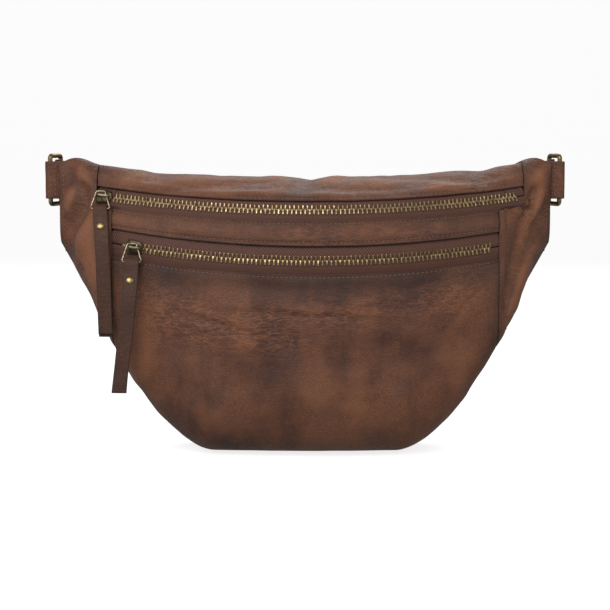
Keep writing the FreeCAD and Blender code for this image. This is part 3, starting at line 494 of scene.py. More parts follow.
def bead_grid(rings=5, around=6):
    """A closed spindle: rings of radius sqrt(1 - s^2) along its axis s from -1 to 1."""
    s = np.linspace(-1.0, 1.0, rings)[:, None]
    turn = np.linspace(0, 2 * math.pi, around, endpoint=False)[None]
    r = np.sqrt(np.maximum(0.0, 1 - s * s)) + 0.02
    points = np.stack(np.broadcast_arrays(s, r * np.cos(turn), r * np.sin(turn)), -1)
    index = np.arange(rings * around).reshape(rings, around)
    ahead = np.roll(index, -1, axis=1)
    faces = np.stack([index[:-1], index[1:], ahead[1:], ahead[:-1]], -1).reshape(-1, 4)
    caps = [[row[0], row[k], row[k + 1], row[k + 2]] for row in (index[0], index[-1][::-1]) for k in (1, 3)]
    return points.reshape(-1, 3), np.concatenate([faces, np.array(caps)])


def repeated(unit, faces, origins, axes):
    """A small shape set down many times: origin + x * along + y * across + z * out."""
    points = origins[:, None] + np.einsum("pk,nkc->npc", unit, axes)
    count = np.arange(len(origins))[:, None, None] * len(unit)
    return points.reshape(-1, 3), (faces[None] + count).reshape(-1, 4)


def stitch_row(name, line, out, body):
    """A row of stitches on a line of points; 'out' is the leather's outward side there."""
    spots, ahead = even_line(line, STITCH)
    out = np.broadcast_to(out, spots.shape) if np.ndim(out) == 1 else out
    side = np.cross(ahead, out)
    side /= np.linalg.norm(side, axis=-1, keepdims=True)
    lift = np.cross(side, ahead)
    axes = np.stack([ahead * (STITCH * 0.40), side * THREAD, lift * THREAD], 1)
    unit, faces = bead_grid()
    points, faces = repeated(unit, faces, spots, axes)
    return dress(make_piece(name, points, faces), thread.material, body)


def line_at(face, column):
    """The grid line at a fractional column of a grid."""
    low = int(column)
    return face[:, low] + (face[:, min(low + 1, face.shape[1] - 1)] - face[:, low]) * (column - low)


def column_at(face, distance):
    """The fractional column at this distance from the grid's last column."""
    run = run_length(face, 1)[len(face) // 2]
    return float(np.interp(run[-1] - distance, run, np.arange(len(run))))


def at_stitches(line, values):
    """Vectors given along a line of points, read at its stitches."""
    run = run_length(line[None], 1)[0]
    places = np.arange(STITCH / 2, run[-1], STITCH)
    return np.stack([np.interp(places, run, values[:, i]) for i in range(3)], -1)


def seam_out(face, column):
    """The grid's outward normals at the stitches of one of its lines."""
    return at_stitches(line_at(face, column), line_at(face_normals(face), column))


outward = 1.0 if face_normals(panel_face)[50, 60, 1] < 0 else -1.0
panel_seam = column_at(panel_face, PANEL_STITCH_IN)
stitch_row("front_panel_stitches", line_at(panel_face, panel_seam)[6:-6],
           seam_out(panel_face[6:-6], panel_seam) * outward, "bag")

# ---------------------------------------------------------------- middle band
# A narrow strip of the same hide between the two zips, folded under and sewn along both
# its edges. It is pinched between the zips, so it puckers across its width.
BAND_TOP_EDGE = -7.0
BAND_LOW_EDGE = 9.0
BAND_STITCH_IN = 2.0
MAIN_ZIP = {"x": 3.5, "y": -42.0, "z": 156.3, "radius": 272.0, "rise": 12.1, "cone": 27.0,
            "ends": (-131.5, 138.5)}
BAND_WRINKLES = [(16, 141, 0, 34, 9, 1.0), (-70, 146, 0, 30, 8, 0.4), (70, 143, 4, 34, 9, 0.7)]


def band_section(x, count=30):
    """Straight from the band's edge at the pocket zip to its edge at the main zip."""
    low = rail(POCKET_ZIP, BAND_LOW_EDGE, x)[:, None]
    high = rail(MAIN_ZIP, BAND_TOP_EDGE, x)[:, None]
    return low + (high - low) * np.linspace(0, 1, count)[:, None]


band_x = -PANEL_HALF + 2 * PANEL_HALF * steps(2 * PANEL_HALF, 0.9)
band_grid = at_shares(band_section(band_x), steps(21.0, 0.8))
bx, bz = band_grid[..., 0], band_grid[..., 2]
band_run = run_length(band_grid, 1)
band_rim = np.minimum(band_run, band_run[:, -1:] - band_run)
pucker = ripple(bx * 2.6, bz * 0.7, 17.0, 21) * 0.30 + ripple(bx, bz, 24.0, 22) * 0.30
pucker *= np.clip((band_rim - 1.0) / 5.0, 0, 1)
channel = 0.55 * np.exp(-((band_rim - BAND_STITCH_IN) / 0.75) ** 2)
crown = 0.5 * np.clip(band_rim / 6.0, 0, 1)
band_side = 1.0 if face_normals(band_grid)[60, 10, 1] < 0 else -1.0
# its shade fact paints shade on the band: a little all along, darker towards the right
middle_band, band_face = leather_piece("middle_band_leather", band_grid[:, ::int(band_side)], LEATHER,
                                       (pucker + crown - channel)[:, ::int(band_side)],
                                       folds(bx, bz, BAND_WRINKLES)[:, ::int(band_side)] + 0.25,
                                       0.18 + 0.22 * np.clip(bx / PANEL_HALF, 0, 1))
dress(middle_band, hide, "bag", ["middle_band"])
for place in (BAND_STITCH_IN, band_run[len(band_run) // 2, -1] - BAND_STITCH_IN):
    column = column_at(band_face, place)
    stitch_row(f"band_stitches_{'low' if place < 9 else 'top'}", line_at(band_face, column)[6:-6],
               seam_out(band_face[6:-6], column), "bag")

# ---------------------------------------------------------------- top panel
# The hide from the main zip over the crest to the back seam. It is one fixed piece; the
# line behind the zip where it would bend is given in 'bend', which nothing reads. It
# collapses a little, so the crest dips and ridges.
BACK_TOP_Z = 171.0
BACK_TOP_CLIMB = 6.0
TOP_EDGE = 6.0
TOP_BULGE = 8.2
FLAP_X = (-119.5, 126.2)
BEND_START_Y = -0.0005
BEND_END_Y = -0.0115
BEND_Z = 0.176
TOP_STITCH_IN = 2.2
TOP_FOLDS = [(2, -6, 78, 26, 6.0, -1.9), (16, -14, 60, 22, 6.0, 0.9), (-14, -14, 110, 20, 6.0, 0.8),
             (112, 2, 84, 20, 7.0, -1.6), (-96, 4, 95, 22, 8.0, -1.2), (-60, -14, 4, 46, 6.0, 1.0),
             (-66, -24, 6, 44, 4.0, -0.9), (-44, -33, 3, 40, 3.0, 0.8), (54, -20, -5, 40, 6.0, 0.8),
             (64, -10, -8, 36, 5.0, -0.9), (30, -30, -3, 30, 4.0, -0.8), (-112, -12, 30, 14, 5.0, 1.2),
             (92, -22, -14, 26, 4.0, 0.7), (-20, 14, 4, 50, 6.0, -0.8), (60, 14, -6, 40, 6.0, 0.9)]
TOP_WRINKLES = [(18, -16, 20, 18, 10, 0.9), (-60, -26, 4, 50, 7, 0.7), (70, -16, -8, 40, 8, 0.7),
                (112, -4, 80, 18, 8, 0.8), (-104, -8, 60, 18, 10, 0.8)]


def back_top_z(x):
    """Height of the back's top edge, which climbs with the cube of X towards the wings."""
    return BACK_TOP_Z + BACK_TOP_CLIMB * (np.abs(x) / WING_LINE) ** 3


def top_section(x, count=50):
    """From the main zip's edge to the back seam, raised by a sine bulge."""
    edge = rail(MAIN_ZIP, TOP_EDGE, x)[:, None]
    seam = np.stack([x, back_y(x) - SEAM_STEP, back_top_z(x)], -1)[:, None]
    part = np.linspace(0, 1, count)[:, None]
    lift = TOP_BULGE * np.sin(math.pi * part)
    return edge + (seam - edge) * part + lift * np.array([0.0, 0.0, 1.0])


low, high = MAIN_ZIP["ends"]
top_grid = at_shares(top_section(low + (high - low) * steps(high - low, PANEL_STEP)), steps(72.0, PANEL_STEP))
if face_normals(top_grid)[100, 30, 2] < 0:
    top_grid = top_grid[::-1]
tx, ty = top_grid[..., 0], top_grid[..., 1]
top_run = run_length(top_grid, 1)
free = np.clip(top_run / 6.0, 0, 1) * np.clip((top_run[:, -1:] - top_run) / 10.0, 0, 1)
slump = folds(tx, ty, TOP_FOLDS) + 0.5 * ripple(tx, ty, 24.0, 31) + 0.14 * ripple(tx, ty, 8.0, 32)
slump = slump * free + 0.6 * np.exp(-((top_run - 7.0) / 3.0) ** 2)
slump -= 0.5 * np.exp(-((top_run - TOP_STITCH_IN) / 0.8) ** 2)
top_panel, top_face = leather_piece("top_panel_leather", top_grid, LEATHER, slump,
                                    folds(tx, ty, TOP_WRINKLES) + 0.3)
dress(top_panel, hide, None, ["top_panel_flap", "top_panel_rear"])
bend = {"start": (0, BEND_START_Y, BEND_Z), "end": (0, BEND_END_Y, BEND_Z)}
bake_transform(top_panel)
column = float(np.interp(TOP_STITCH_IN, run_length(top_face, 1)[80], np.arange(top_face.shape[1])))
top_stitches = stitch_row("top_panel_stitches", line_at(top_face, column)[5:-5],
                          seam_out(top_face[5:-5], column), None)
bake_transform(top_stitches)

# ---------------------------------------------------------------- wings
# Each end of the bag is closed by one gusset that tapers into a wing. It is sewn to the
# face, the band and the back, its seam covered by a turned edge, and it is notched where
# the main zip runs out. The leather gathers at the notch and folds towards the wing's tip.
WING_END_FRONT_Y = 10.4
WING_END_ROUND = 4.7
WING_END_LOW_Z = 133.0
WING_END_HIGH_Z = 183.0
WING_CREST = 6.5
WING_STITCH_IN = 5.2
WING_TIP_STITCH_IN = 3.2
NOTCH_GAP = 0.4
NOTCH_SLOPE = 0.010
# where the notch's lower edge meets the inner edge, and how far it sinks by the zip's end
NOTCH = {-1: (0.704, 0.025), 1: (0.696, 0.046)}
WING_FOLDS = {
    -1: [(-146, 150, 62, 20, 7.0, -2.6), (-139, 142, 70, 24, 5.0, 1.6), (-130, 168, -30, 20, 5.0, 2.2),
         (-141, 172, -28, 20, 5.0, -1.2), (-134, 112, -68, 34, 7.0, 1.8), (-143, 122, -66, 24, 5.0, -1.2),
         (-126, 134, 84, 16, 4.0, -1.4), (-150, 160, 74, 16, 4.0, 1.0), (-127, 96, -70, 24, 5.0, -1.0)],
    1: [(133, 128, 74, 30, 4.0, -1.8), (139, 134, 70, 34, 4.5, 1.8), (146, 146, 66, 24, 5.0, -1.6),
        (150, 160, 60, 18, 4.0, 1.2), (142, 170, 30, 18, 5.0, 1.4), (130, 108, 70, 22, 4.5, -1.2),
        (136, 110, 68, 24, 4.0, 1.2), (129, 88, 62, 20, 5.0, 0.8), (143, 158, 82, 14, 3.5, -1.2)]}


def wing_grid(side):
    """Inner edge to end line at shares p: inner + (end - inner) * p, plus a crest that grows
    with the cube of the share w up the edge. The inner edge starts at p = n past the notch,
    and the rows sink by the notch's own slope, so that its edge is a row of the grid."""
    x = np.array([side * WING_LINE])
    edge = np.concatenate([front_section(x), band_section(x), top_section(x)], 1)
    first, sink = NOTCH[side]
    notch = (abs(MAIN_ZIP["ends"][(side + 1) // 2]) + NOTCH_GAP - WING_LINE) / (WING_END - WING_LINE)
    below = steps(170.0, PANEL_STEP) * first
    above = first + NOTCH_SLOPE + steps(72.0, PANEL_STEP) * (1 - first - NOTCH_SLOPE)
    w = np.concatenate([below[:-4], first + np.linspace(-0.002, NOTCH_SLOPE, 7), above[4:]])[:, None]
    rise = np.clip((w - first) / NOTCH_SLOPE, 0, 1)
    start = notch * rise * rise * (3 - 2 * rise)
    q = steps(36.5, 0.9)[None]
    p = start + (1 - start) * q
    up = w - sink * np.clip(p / notch, 0, 1) * np.clip(4 * w * (1 - w) * 1.4, 0, 1)
    inner = at_shares(np.repeat(edge, len(w), 0), up)
    round_in = WING_END_ROUND * np.maximum(0.0, 1 - 2 * up) ** 6
    end = np.stack([np.full(up.shape, side * WING_END), WING_END_FRONT_Y + round_in,
                    WING_END_LOW_Z + (WING_END_HIGH_Z - WING_END_LOW_Z) * up], -1)
    grid = inner + (end - inner) * p[..., None]
    grid[..., 2] += WING_CREST * np.sin(math.pi * p ** 1.6) * up ** 3
    return grid


for side, word in ((-1, "left"), (1, "right")):
    grid = wing_grid(side)
    if face_normals(grid)[70, 20, 1] > 0:
        grid = grid[:, ::-1]
    wx, wz = grid[..., 0], grid[..., 2]
    height = 2.0 * folds(wx, wz, WING_FOLDS[side]) + 0.8 * ripple(wx, wz, 20.0, 41 + side)
    height += 0.14 * ripple(wx, wz, 7.0, 44 + side)
    height *= edge_fade(grid, 10.0)
    seam = np.abs(wx) - WING_LINE
    height -= 0.45 * np.exp(-((seam - WING_STITCH_IN) / 0.8) ** 2)
    height += 0.55 * np.exp(-((seam - 2.2) / 1.8) ** 2) * edge_fade(grid, 1.2)
    wrinkle = 0.45 + 0.5 * ripple(wx, wz, 18.0, 47 + side)
    wing, wing_face = leather_piece(f"{word}_wing_leather", grid, LEATHER, height, wrinkle)
    dress(wing, hide, "bag", [f"{word}_wing_panel"])
    normal = face_normals(wing_face)
    for row, place in (("seam", WING_LINE + WING_STITCH_IN), ("tip", WING_END - WING_TIP_STITCH_IN)):
        spot = np.argmin(np.abs(np.abs(wing_face[..., 0]) - place), 1)
        keep = np.abs(np.abs(wing_face[np.arange(len(spot)), spot, 0]) - place) < 1.2
        line = wing_face[np.arange(len(spot)), spot][keep]
        line[:, 0] = side * place
        out = at_stitches(line, normal[np.arange(len(spot)), spot][keep])
        stitch_row(f"{word}_wing_{row}_stitches", line, out, "bag")

# ---------------------------------------------------------------- back panel
# One flat piece of hide from wing tip to wing tip, which lies against the wearer. The other
# panels are sewn to its edge, and its corners curl forward into the wings.


def back_section(x):
    """Upright at each X, from just over the foot's outline to just under the top edge; past
    the wing line both run straight to the tip's two corners, the upper one over a crest."""
    past = np.clip((np.abs(x) - WING_LINE) / (WING_END - WING_LINE), 0, 1)
    low = bottom_z(np.clip(x, -WING_LINE, WING_LINE)) + 1.0
    low = low + (WING_END_LOW_Z - low) * past
    high = back_top_z(np.clip(x, -WING_LINE, WING_LINE)) - 0.5
    high = high + (WING_END_HIGH_Z - high - 0.5) * past + WING_CREST * np.sin(math.pi * past ** 1.6)
    part = np.linspace(0, 1, 40)
    z = low[:, None] + (high - low)[:, None] * part
    return np.stack(np.broadcast_arrays(x[:, None], back_y(x)[:, None], z), -1)


back_grid = at_shares(back_section(WING_END - 2 * WING_END * steps(2 * WING_END, 1.6)), steps(170.0, 1.6))
kx, kz = back_grid[..., 0], back_grid[..., 2]
back_in = edge_fade(back_grid, 12.0)
back_height = (0.9 * ripple(kx, kz, 48.0, 51) + 0.4 * ripple(kx, kz, 20.0, 52)) * back_in - 0.6 * back_in
back_rim = edge_fade(back_grid, 7.0)
back_height -= 0.45 * np.exp(-((back_rim - 0.3) / 0.10) ** 2)
if face_normals(back_grid)[50, 50, 1] < 0:
    back_grid, back_height = back_grid[::-1], back_height[::-1]
back_panel, back_face = leather_piece("back_panel_leather", back_grid, LEATHER, back_height, 0.25)
dress(back_panel, hide, "bag", ["back_panel"])
back_out = face_normals(back_face)
for word, column in (("foot", 4), ("top", back_face.shape[1] - 5)):
    line = back_face[6:-6, column]
    stitch_row(f"back_{word}_stitches", line, at_stitches(line, back_out[6:-6, column]), "bag")

# ---------------------------------------------------------------- linings
# Plain woven cotton. One sheet hangs behind the front pocket, and two line the main
# compartment. They are loose, so they ripple.
LINING = 0.6
LINING_HALF = 99.0
BACK_LINING_HALF = 111.0
POCKET_LINING_IN = 11.0
MAIN_LINING_IN = 13.0
BACK_LINING_IN = 4.4
COTTON = (0.30, 0.25, 0.19)


def woven(name, colour, pitch, deep=0.06, rough=0.85):
    """Plain weave: threads of 'pitch' millimetres each way, which pass over and under in turn."""
    m = Finish(name, Sheen_Weight=0.3)
    flat = m.fact("flat", vector=True)
    part = m.node("ShaderNodeSeparateXYZ", {}, {0: flat})
    along = part
    across = Value(m, part.socket.node.outputs[1])
    waves = [m.node("ShaderNodeMath", {"operation": "SINE"}, {0: v * (2 * math.pi / pitch)})
             for v in (along, across)]
    cross = waves[0] * waves[1]
    shade = m.noise(m.place(), 26.0)
    tone = m.mix((cross * 0.5 + 0.5) * 0.5 + shade * 0.4, tuple(c * 0.55 for c in colour), colour)
    m.drive(Base_Color=tone, Roughness=rough, Normal=m.bump(cross * deep + shade * 0.2))
    return m.material


cotton = woven("lining_cotton", COTTON, 0.8)


def lining(name, grid, depth, seed, node):
    """A loose sheet this far inside the given grid, with ripples."""
    inner = grid - face_normals(grid) * depth
    lx, lz = inner[..., 0], inner[..., 2]
    slack = ripple(lx, lz, 30.0, seed) * 0.9 * edge_fade(inner, 10.0)
    inner = inner + face_normals(grid) * slack[..., None]
    points, faces, facts, _ = solid_sheet(inner, LINING)
    piece = make_piece(name, points, faces, facts)
    return dress(piece, cotton, "bag", [node])


lining_x = np.linspace(-LINING_HALF, LINING_HALF, 67)
front_in = 1.0 if face_normals(front_section(lining_x))[30, 60, 1] < 0 else -1.0
whole_front = front_section(lining_x)
face_and_band = np.concatenate([whole_front, band_section(lining_x)], 1)
whole_back = back_section(np.linspace(BACK_LINING_HALF, -BACK_LINING_HALF, 75))
lining("pocket_lining_cloth", at_shares(whole_front, np.linspace(0.34, 0.985, 66)),
       POCKET_LINING_IN * front_in, 61, "pocket_lining")
lining("main_lining_front_cloth", at_shares(face_and_band, np.linspace(0.26, 0.985, 80)),
       MAIN_LINING_IN * front_in, 62, "main_lining_front")
lining("main_lining_back_cloth", at_shares(whole_back, np.linspace(0.10, 0.90, 66)),
       BACK_LINING_IN, 63, "main_lining_back")

# ---------------------------------------------------------------- zip tapes
# Polyester tape woven in a fine diagonal twill, dyed red-brown. Its inner edge has the cord
# that the teeth clamp, and its outer edge runs under the leather.
TAPE = 0.6
TAPE_HALF = 12.0
TAPE_SHOWN = 4.6
TAPE_TUCK = 1.4
TOP_TUCK = (9.4, -5.3)
TAPE_IN = 0.3
TAPE_DIVE_FROM = 121.0
TAPE_DIVE = 3.2
POCKET_TAPE_ENDS = (-121.9, 122.1)
TWILL = 1.8
TAPE_BROWN = (0.130, 0.048, 0.027)

tape_cloth = Finish("tape_twill", Roughness=0.62, Sheen_Weight=0.2)
tape_flat = tape_cloth.node("ShaderNodeSeparateXYZ", {}, {0: tape_cloth.fact("flat", vector=True)})
tape_across = Value(tape_cloth, tape_flat.socket.node.outputs[1])
rib = tape_cloth.node("ShaderNodeMath", {"operation": "SINE"},
                      {0: (tape_flat + tape_across) * (2 * math.pi / TWILL)})
yarn = tape_cloth.node("ShaderNodeMath", {"operation": "SINE"}, {0: tape_across * (2 * math.pi / 0.45)})
weave = rib * 0.5 + 0.5 + yarn * 0.12
tape_tone = tape_cloth.mix(weave.clamp() * 0.85, tuple(c * 0.40 for c in TAPE_BROWN),
                           tuple(c * 1.6 for c in TAPE_BROWN))
tape_cloth.drive(Base_Color=tape_tone, Normal=tape_cloth.bump(weave * 0.14))


def zip_tape(name, line, side, low, high, body):
    """A profile across the zip, carried along its arc: flat beside the teeth with a slight
    lift over the cord, then bent down under the leather."""
    start, stop = zip_angle(line, np.array([low, high]))
    angle = start + (stop - start) * steps(line["radius"] * (stop - start), 2.4)
    far, tuck = TOP_TUCK if side > 0 and line is MAIN_ZIP else (side * TAPE_HALF, -TAPE_TUCK)
    corners = np.array([side * TAPE_IN, side * TAPE_SHOWN, far])
    across = corners[0] + (corners[2] - corners[0]) * steps(abs(far) - TAPE_IN, 0.5)
    drop = np.interp(np.abs(across), np.abs(corners), [0.0, 0.0, tuck])
    lift = TAPE / 2 + drop + 0.25 * np.exp(-((np.abs(across) - 2.3) / 0.8) ** 2)
    under = np.clip((np.abs(angle) * line["radius"] - TAPE_DIVE_FROM) / 6.0, 0, 1)
    dive = TAPE_DIVE * under[:, None] * np.clip((np.abs(across) - 5.0) / 4.0, 0, 1)
    dive = dive * (side < 0 and line is MAIN_ZIP)
    wave = 0.12 * np.sin(angle[:, None] * line["radius"] / 5.0) * np.clip((np.abs(across) - 3.0) / 2.0, 0, 1)
    grid = zip_point(line, angle[:, None], across[None], lift[None] + wave - dive)
    if side < 0:
        grid = grid[::-1]
    points, faces, facts, _ = solid_sheet(grid, TAPE)
    dress(make_piece(name, points, faces, facts), tape_cloth.material, body,
          [name.replace("_cloth", "")])


zip_tape("main_tape_lower_cloth", MAIN_ZIP, -1, *MAIN_ZIP["ends"], "bag")
zip_tape("main_tape_upper_cloth", MAIN_ZIP, 1, *FLAP_X, "top_flap")
zip_tape("main_tape_left_end_cloth", MAIN_ZIP, 1, MAIN_ZIP["ends"][0], FLAP_X[0] - 0.3, "bag")
zip_tape("main_tape_right_end_cloth", MAIN_ZIP, 1, FLAP_X[1] + 0.3, MAIN_ZIP["ends"][1], "bag")
zip_tape("pocket_tape_upper_cloth", POCKET_ZIP, 1, *POCKET_TAPE_ENDS, "bag")
zip_tape("pocket_tape_lower_cloth", POCKET_ZIP, -1, *POCKET_TAPE_ENDS, "bag")

# ---------------------------------------------------------------- zip teeth and stops
# Stamped brass teeth of a size 5 zip, clamped on the tape's cord. Each has two legs, and a
# head that drops between its neighbours' heads opposite. They are antiqued, then polished,
# so their faces are bright and the gaps are dark.
TOOTH_PITCH = 2.7
TEETH_START = 6.0
TEETH_END = 5.0


def metal(name, bright, dark, rough=0.32, patina=0.45, size=1.6):
    """Antiqued metal: bright where it is rubbed, dark where its finish stays."""
    m = Finish(name, Metallic=1.0)
    spot = m.place()
    stain = m.noise(spot, size, 4.0, 0.6).between(0.5 - patina * 0.4, 0.78)
    scratch = m.noise(m.place(stretch=(1.0, 6.0, 6.0)), 1.2, 2.0)
    m.drive(Base_Color=m.mix(stain, bright, dark), Roughness=stain * 0.25 + rough + scratch * 0.08,
            Normal=m.bump(scratch * 0.02 + stain * 0.02))
    return m.material


tooth_brass = metal("antique_zip_brass", (0.66, 0.49, 0.27), (0.12, 0.080, 0.045), 0.30, 0.55, 2.2)


def refinish(material, *nodes):
    """Gives carried-over metal parts their finish."""
    for node in nodes:
        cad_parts[node].data.materials.clear()
        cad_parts[node].data.materials.append(material)


def tooth_shape():
    """One tooth: rings of eight points along its length, from its legs to its head; each
    ring is a rectangle with cut corners, half width a(s) and half height b(s)."""
    s = np.array([3.05, 3.0, 2.7, 1.2, 0.55, 0.1, -0.45, -0.62])
    wide = np.array([0.25, 0.46, 0.52, 0.50, 0.66, 0.72, 0.62, 0.30])
    high = np.array([0.80, 1.16, 1.30, 1.26, 1.14, 1.05, 0.90, 0.50])
    corner = np.array([[1, 0.7], [0.7, 1], [-0.7, 1], [-1, 0.7],
                       [-1, -0.7], [-0.7, -1], [0.7, -1], [1, -0.7]])
    points = np.stack(np.broadcast_arrays(wide[:, None] * corner[:, 0], s[:, None],
                                          high[:, None] * corner[:, 1]), -1)
    index = np.arange(64).reshape(8, 8)
    ahead = np.roll(index, -1, axis=1)
    sides = np.stack([index[:-1], index[1:], ahead[1:], ahead[:-1]], -1).reshape(-1, 4)
    ends = []
    for ring in (index[0], index[-1][::-1]):
        ends += [[ring[0], ring[1], ring[2], ring[3]], [ring[0], ring[3], ring[4], ring[7]],
                 [ring[4], ring[5], ring[6], ring[7]]]
    return points.reshape(-1, 3), np.concatenate([sides, np.array(ends)])


def tooth_row(name, line, side, low, high, body):
    """The tooth set down at every pitch of the arc, a quarter pitch either way by side."""
    start, stop = zip_angle(line, np.array([low, high]))
    step = TOOTH_PITCH / line["radius"]
    first = math.ceil(start / step - side * 0.25) + side * 0.25
    angle = np.arange(first * step, stop, step)
    _, travel, up, out = zip_axes(line, angle)
    unit, faces = tooth_shape()
    points, faces = repeated(unit, faces, zip_point(line, angle, 0.0), np.stack([travel, up * side, out], 1))
    row = dress(make_piece(name + "_metal", points, faces), tooth_brass, body, [name])
    row.data.polygons.foreach_set("use_smooth", np.zeros(len(row.data.polygons), bool))


main_teeth = (MAIN_ZIP["ends"][0] + TEETH_START, MAIN_ZIP["ends"][1] - TEETH_END)
pocket_teeth = (POCKET_ZIP["ends"][0] + TEETH_START, POCKET_ZIP["ends"][1] - TEETH_END)
tooth_row("main_teeth_lower", MAIN_ZIP, -1, *main_teeth, "bag")
tooth_row("main_teeth_upper", MAIN_ZIP, 1, FLAP_X[0] + 1, FLAP_X[1] - 1, "top_flap")
# The main zip's two end stops aren't shown. This piece replaces their part, but it is the
# last upper teeth, which go on past the flap's end on the bag's own tape.
tooth_row("main_stops", MAIN_ZIP, 1, FLAP_X[1], main_teeth[1], "bag")
tooth_row("pocket_teeth_upper", POCKET_ZIP, 1, *pocket_teeth, "bag")
tooth_row("pocket_teeth_lower", POCKET_ZIP, -1, *pocket_teeth, "bag")
refinish(tooth_brass, "pocket_stops")

# ---------------------------------------------------------------- sliders
# Die-cast and dark bronze plated: two shield-shaped plates with turned flanges round the
# teeth, a post between them, and a bridge over the top plate that the puller hangs from.
# The plating is rubbed through on the bridge.
SLIDER_HALF_LENGTH = 5.75
SLIDER_HALF_WIDTH = 4.2
SLIDER_CHANNEL = 1.6
SLIDER_PLATE = 0.8
BRIDGE_REACH = 5.2
BRIDGE_RISE = 3.7
BRIDGE_CORE = 0.45
BRIDGE_HALF_WIDTH = 0.85
POST_RADIUS = 0.9

slider_bronze = metal("dark_slider_bronze", (0.17, 0.125, 0.080), (0.035, 0.027, 0.020), 0.30, 0.4, 3.0)
bridge_bronze = metal("rubbed_bridge_bronze", (0.44, 0.35, 0.23), (0.15, 0.115, 0.075), 0.27, 0.3, 3.0)


def plate(level, thickness, crown):
    """A shield-shaped pad: half width W * (1 - |s|^n)^(1/n), a little wider at the mouth end,
    its faces domed by the crown. Grid of rings from the rim to the middle, top and bottom."""
    turn = np.linspace(0, 2 * math.pi, 41)[:-1]
    c, s = np.cos(turn), np.sin(turn)
    shape = (np.abs(c) ** 3.2 + np.abs(s) ** 3.2) ** (-1 / 3.2)
    length = SLIDER_HALF_LENGTH * c * shape
    width = SLIDER_HALF_WIDTH * s * shape * (1.0 - 0.14 * c - 0.10 * np.abs(c) ** 3)
    ring = np.array([1.0, 0.97, 0.88, 0.6, 0.3, 0.02])[:, None]
    swell = np.sqrt(np.maximum(0, 1 - ring ** 6)) * thickness / 2
    dome = crown * (1 - ring ** 2)
    upper = np.stack([ring * length, ring * width, level + swell + dome + 0 * length], -1)
    lower = np.stack([ring * length, ring * width, level - swell + 0 * length], -1)[1:]
    points = np.concatenate([lower[::-1], upper]).reshape(-1, 3)
    index = np.arange(11 * 40).reshape(11, 40)
    ahead = np.roll(index, -1, axis=1)
    faces = np.stack([index[:-1], index[1:], ahead[1:], ahead[:-1]], -1).reshape(-1, 4)
    return points, faces


def rod(path, side_axis, half_width, half_depth, power=3.0, around=16):
    """A bar on a path: at each point a superellipse |a/w|^n + |b/d|^n = 1 on the given side
    direction and the path's normal; its ends are closed to a point."""
    path = np.asarray(path, float)
    ahead = np.gradient(path, axis=0)
    ahead /= np.linalg.norm(ahead, axis=-1, keepdims=True)
    side = np.broadcast_to(side_axis, path.shape)
    side = side - ahead * (side * ahead).sum(-1, keepdims=True)
    side = side / np.linalg.norm(side, axis=-1, keepdims=True)
    lift = np.cross(ahead, side)
    turn = np.linspace(0, 2 * math.pi, around, endpoint=False)
    c, s = np.cos(turn), np.sin(turn)
    shape = (np.abs(c) ** power + np.abs(s) ** power) ** (-1 / power)
    ring = (side[:, None] * (half_width * c * shape)[None, :, None]
            + lift[:, None] * (half_depth * s * shape)[None, :, None])
    points = path[:, None] + ring
    first, last = path[0] + ring[0] * 0.02, path[-1] + ring[-1] * 0.02
    points = np.concatenate([first[None], points, last[None]])
    index = np.arange(len(points) * around).reshape(len(points), around)
    beside = np.roll(index, -1, axis=1)
    faces = np.stack([index[:-1], index[1:], beside[1:], beside[:-1]], -1).reshape(-1, 4)
    return points.reshape(-1, 3), faces


def joined(parts):
    """Several point and quad lists as one."""
    counts = np.cumsum([0] + [len(points) for points, _ in parts])
    return (np.concatenate([points for points, _ in parts]),
            np.concatenate([faces + count for (_, faces), count in zip(parts, counts)]))


def carried(points, line, x):
    """Points from a slider's own frame to its place on a zip."""
    angle = zip_angle(line, x)
    _, travel, up, out = zip_axes(line, angle)
    return zip_point(line, angle) + points @ np.stack([travel, up, out])


def slider(prefix, line, x):
    """Plates, flanges, post and bridge."""
    level = SLIDER_CHANNEL + SLIDER_PLATE / 2
    parts = [plate(level, SLIDER_PLATE, 0.55), plate(-level, SLIDER_PLATE, 0.0)]
    along = np.linspace(-0.80, 0.80, 13) * SLIDER_HALF_LENGTH
    for edge in (-1, 1):
        for face in (-1, 1):
            half = SLIDER_HALF_WIDTH * (1.0 - 0.14 * along / SLIDER_HALF_LENGTH) * 0.93
            path = np.stack([along, edge * half, 0 * along + face * 1.2], -1)
            parts.append(rod(path, (0, 0, 1), 0.50, 0.34))
    post = np.array([[-4.2, 0, -1.7], [-4.2, 0, -0.8], [-4.2, 0, 0.0], [-4.2, 0, 0.8], [-4.2, 0, 1.7]])
    parts.append(rod(post, (1, 0, 0), POST_RADIUS, POST_RADIUS * 0.6))
    points, faces = joined([outward_faces(*part) for part in parts])
    body = f"{prefix}_zip_slider"
    dress(make_piece(f"{prefix}_slider_body", carried(points, line, x), faces), slider_bronze,
          body, [f"{prefix}_slider"])
    turn = np.linspace(math.pi, 0, 33)
    foot = SLIDER_CHANNEL + SLIDER_PLATE
    c, s = np.cos(turn), np.sin(turn)
    arch = (np.abs(c) ** 4 + np.abs(s) ** 4) ** -0.25
    path = np.stack([(BRIDGE_REACH - BRIDGE_CORE) * c * arch, 0 * c,
                     foot + (BRIDGE_RISE - BRIDGE_CORE) * s * arch], -1)
    points, faces = outward_faces(*rod(path, (0, 1, 0), BRIDGE_HALF_WIDTH, BRIDGE_CORE, 3.5))
    dress(make_piece(f"{prefix}_slider_bridge", carried(points, line, x), faces), bridge_bronze,
          body)


MAIN_SLIDER_X = -126.0
POCKET_SLIDER_X = -105.5
slider("main", MAIN_ZIP, MAIN_SLIDER_X)
slider("pocket", POCKET_ZIP, POCKET_SLIDER_X)
refinish(bridge_bronze, "main_puller_ring", "pocket_puller_ring")

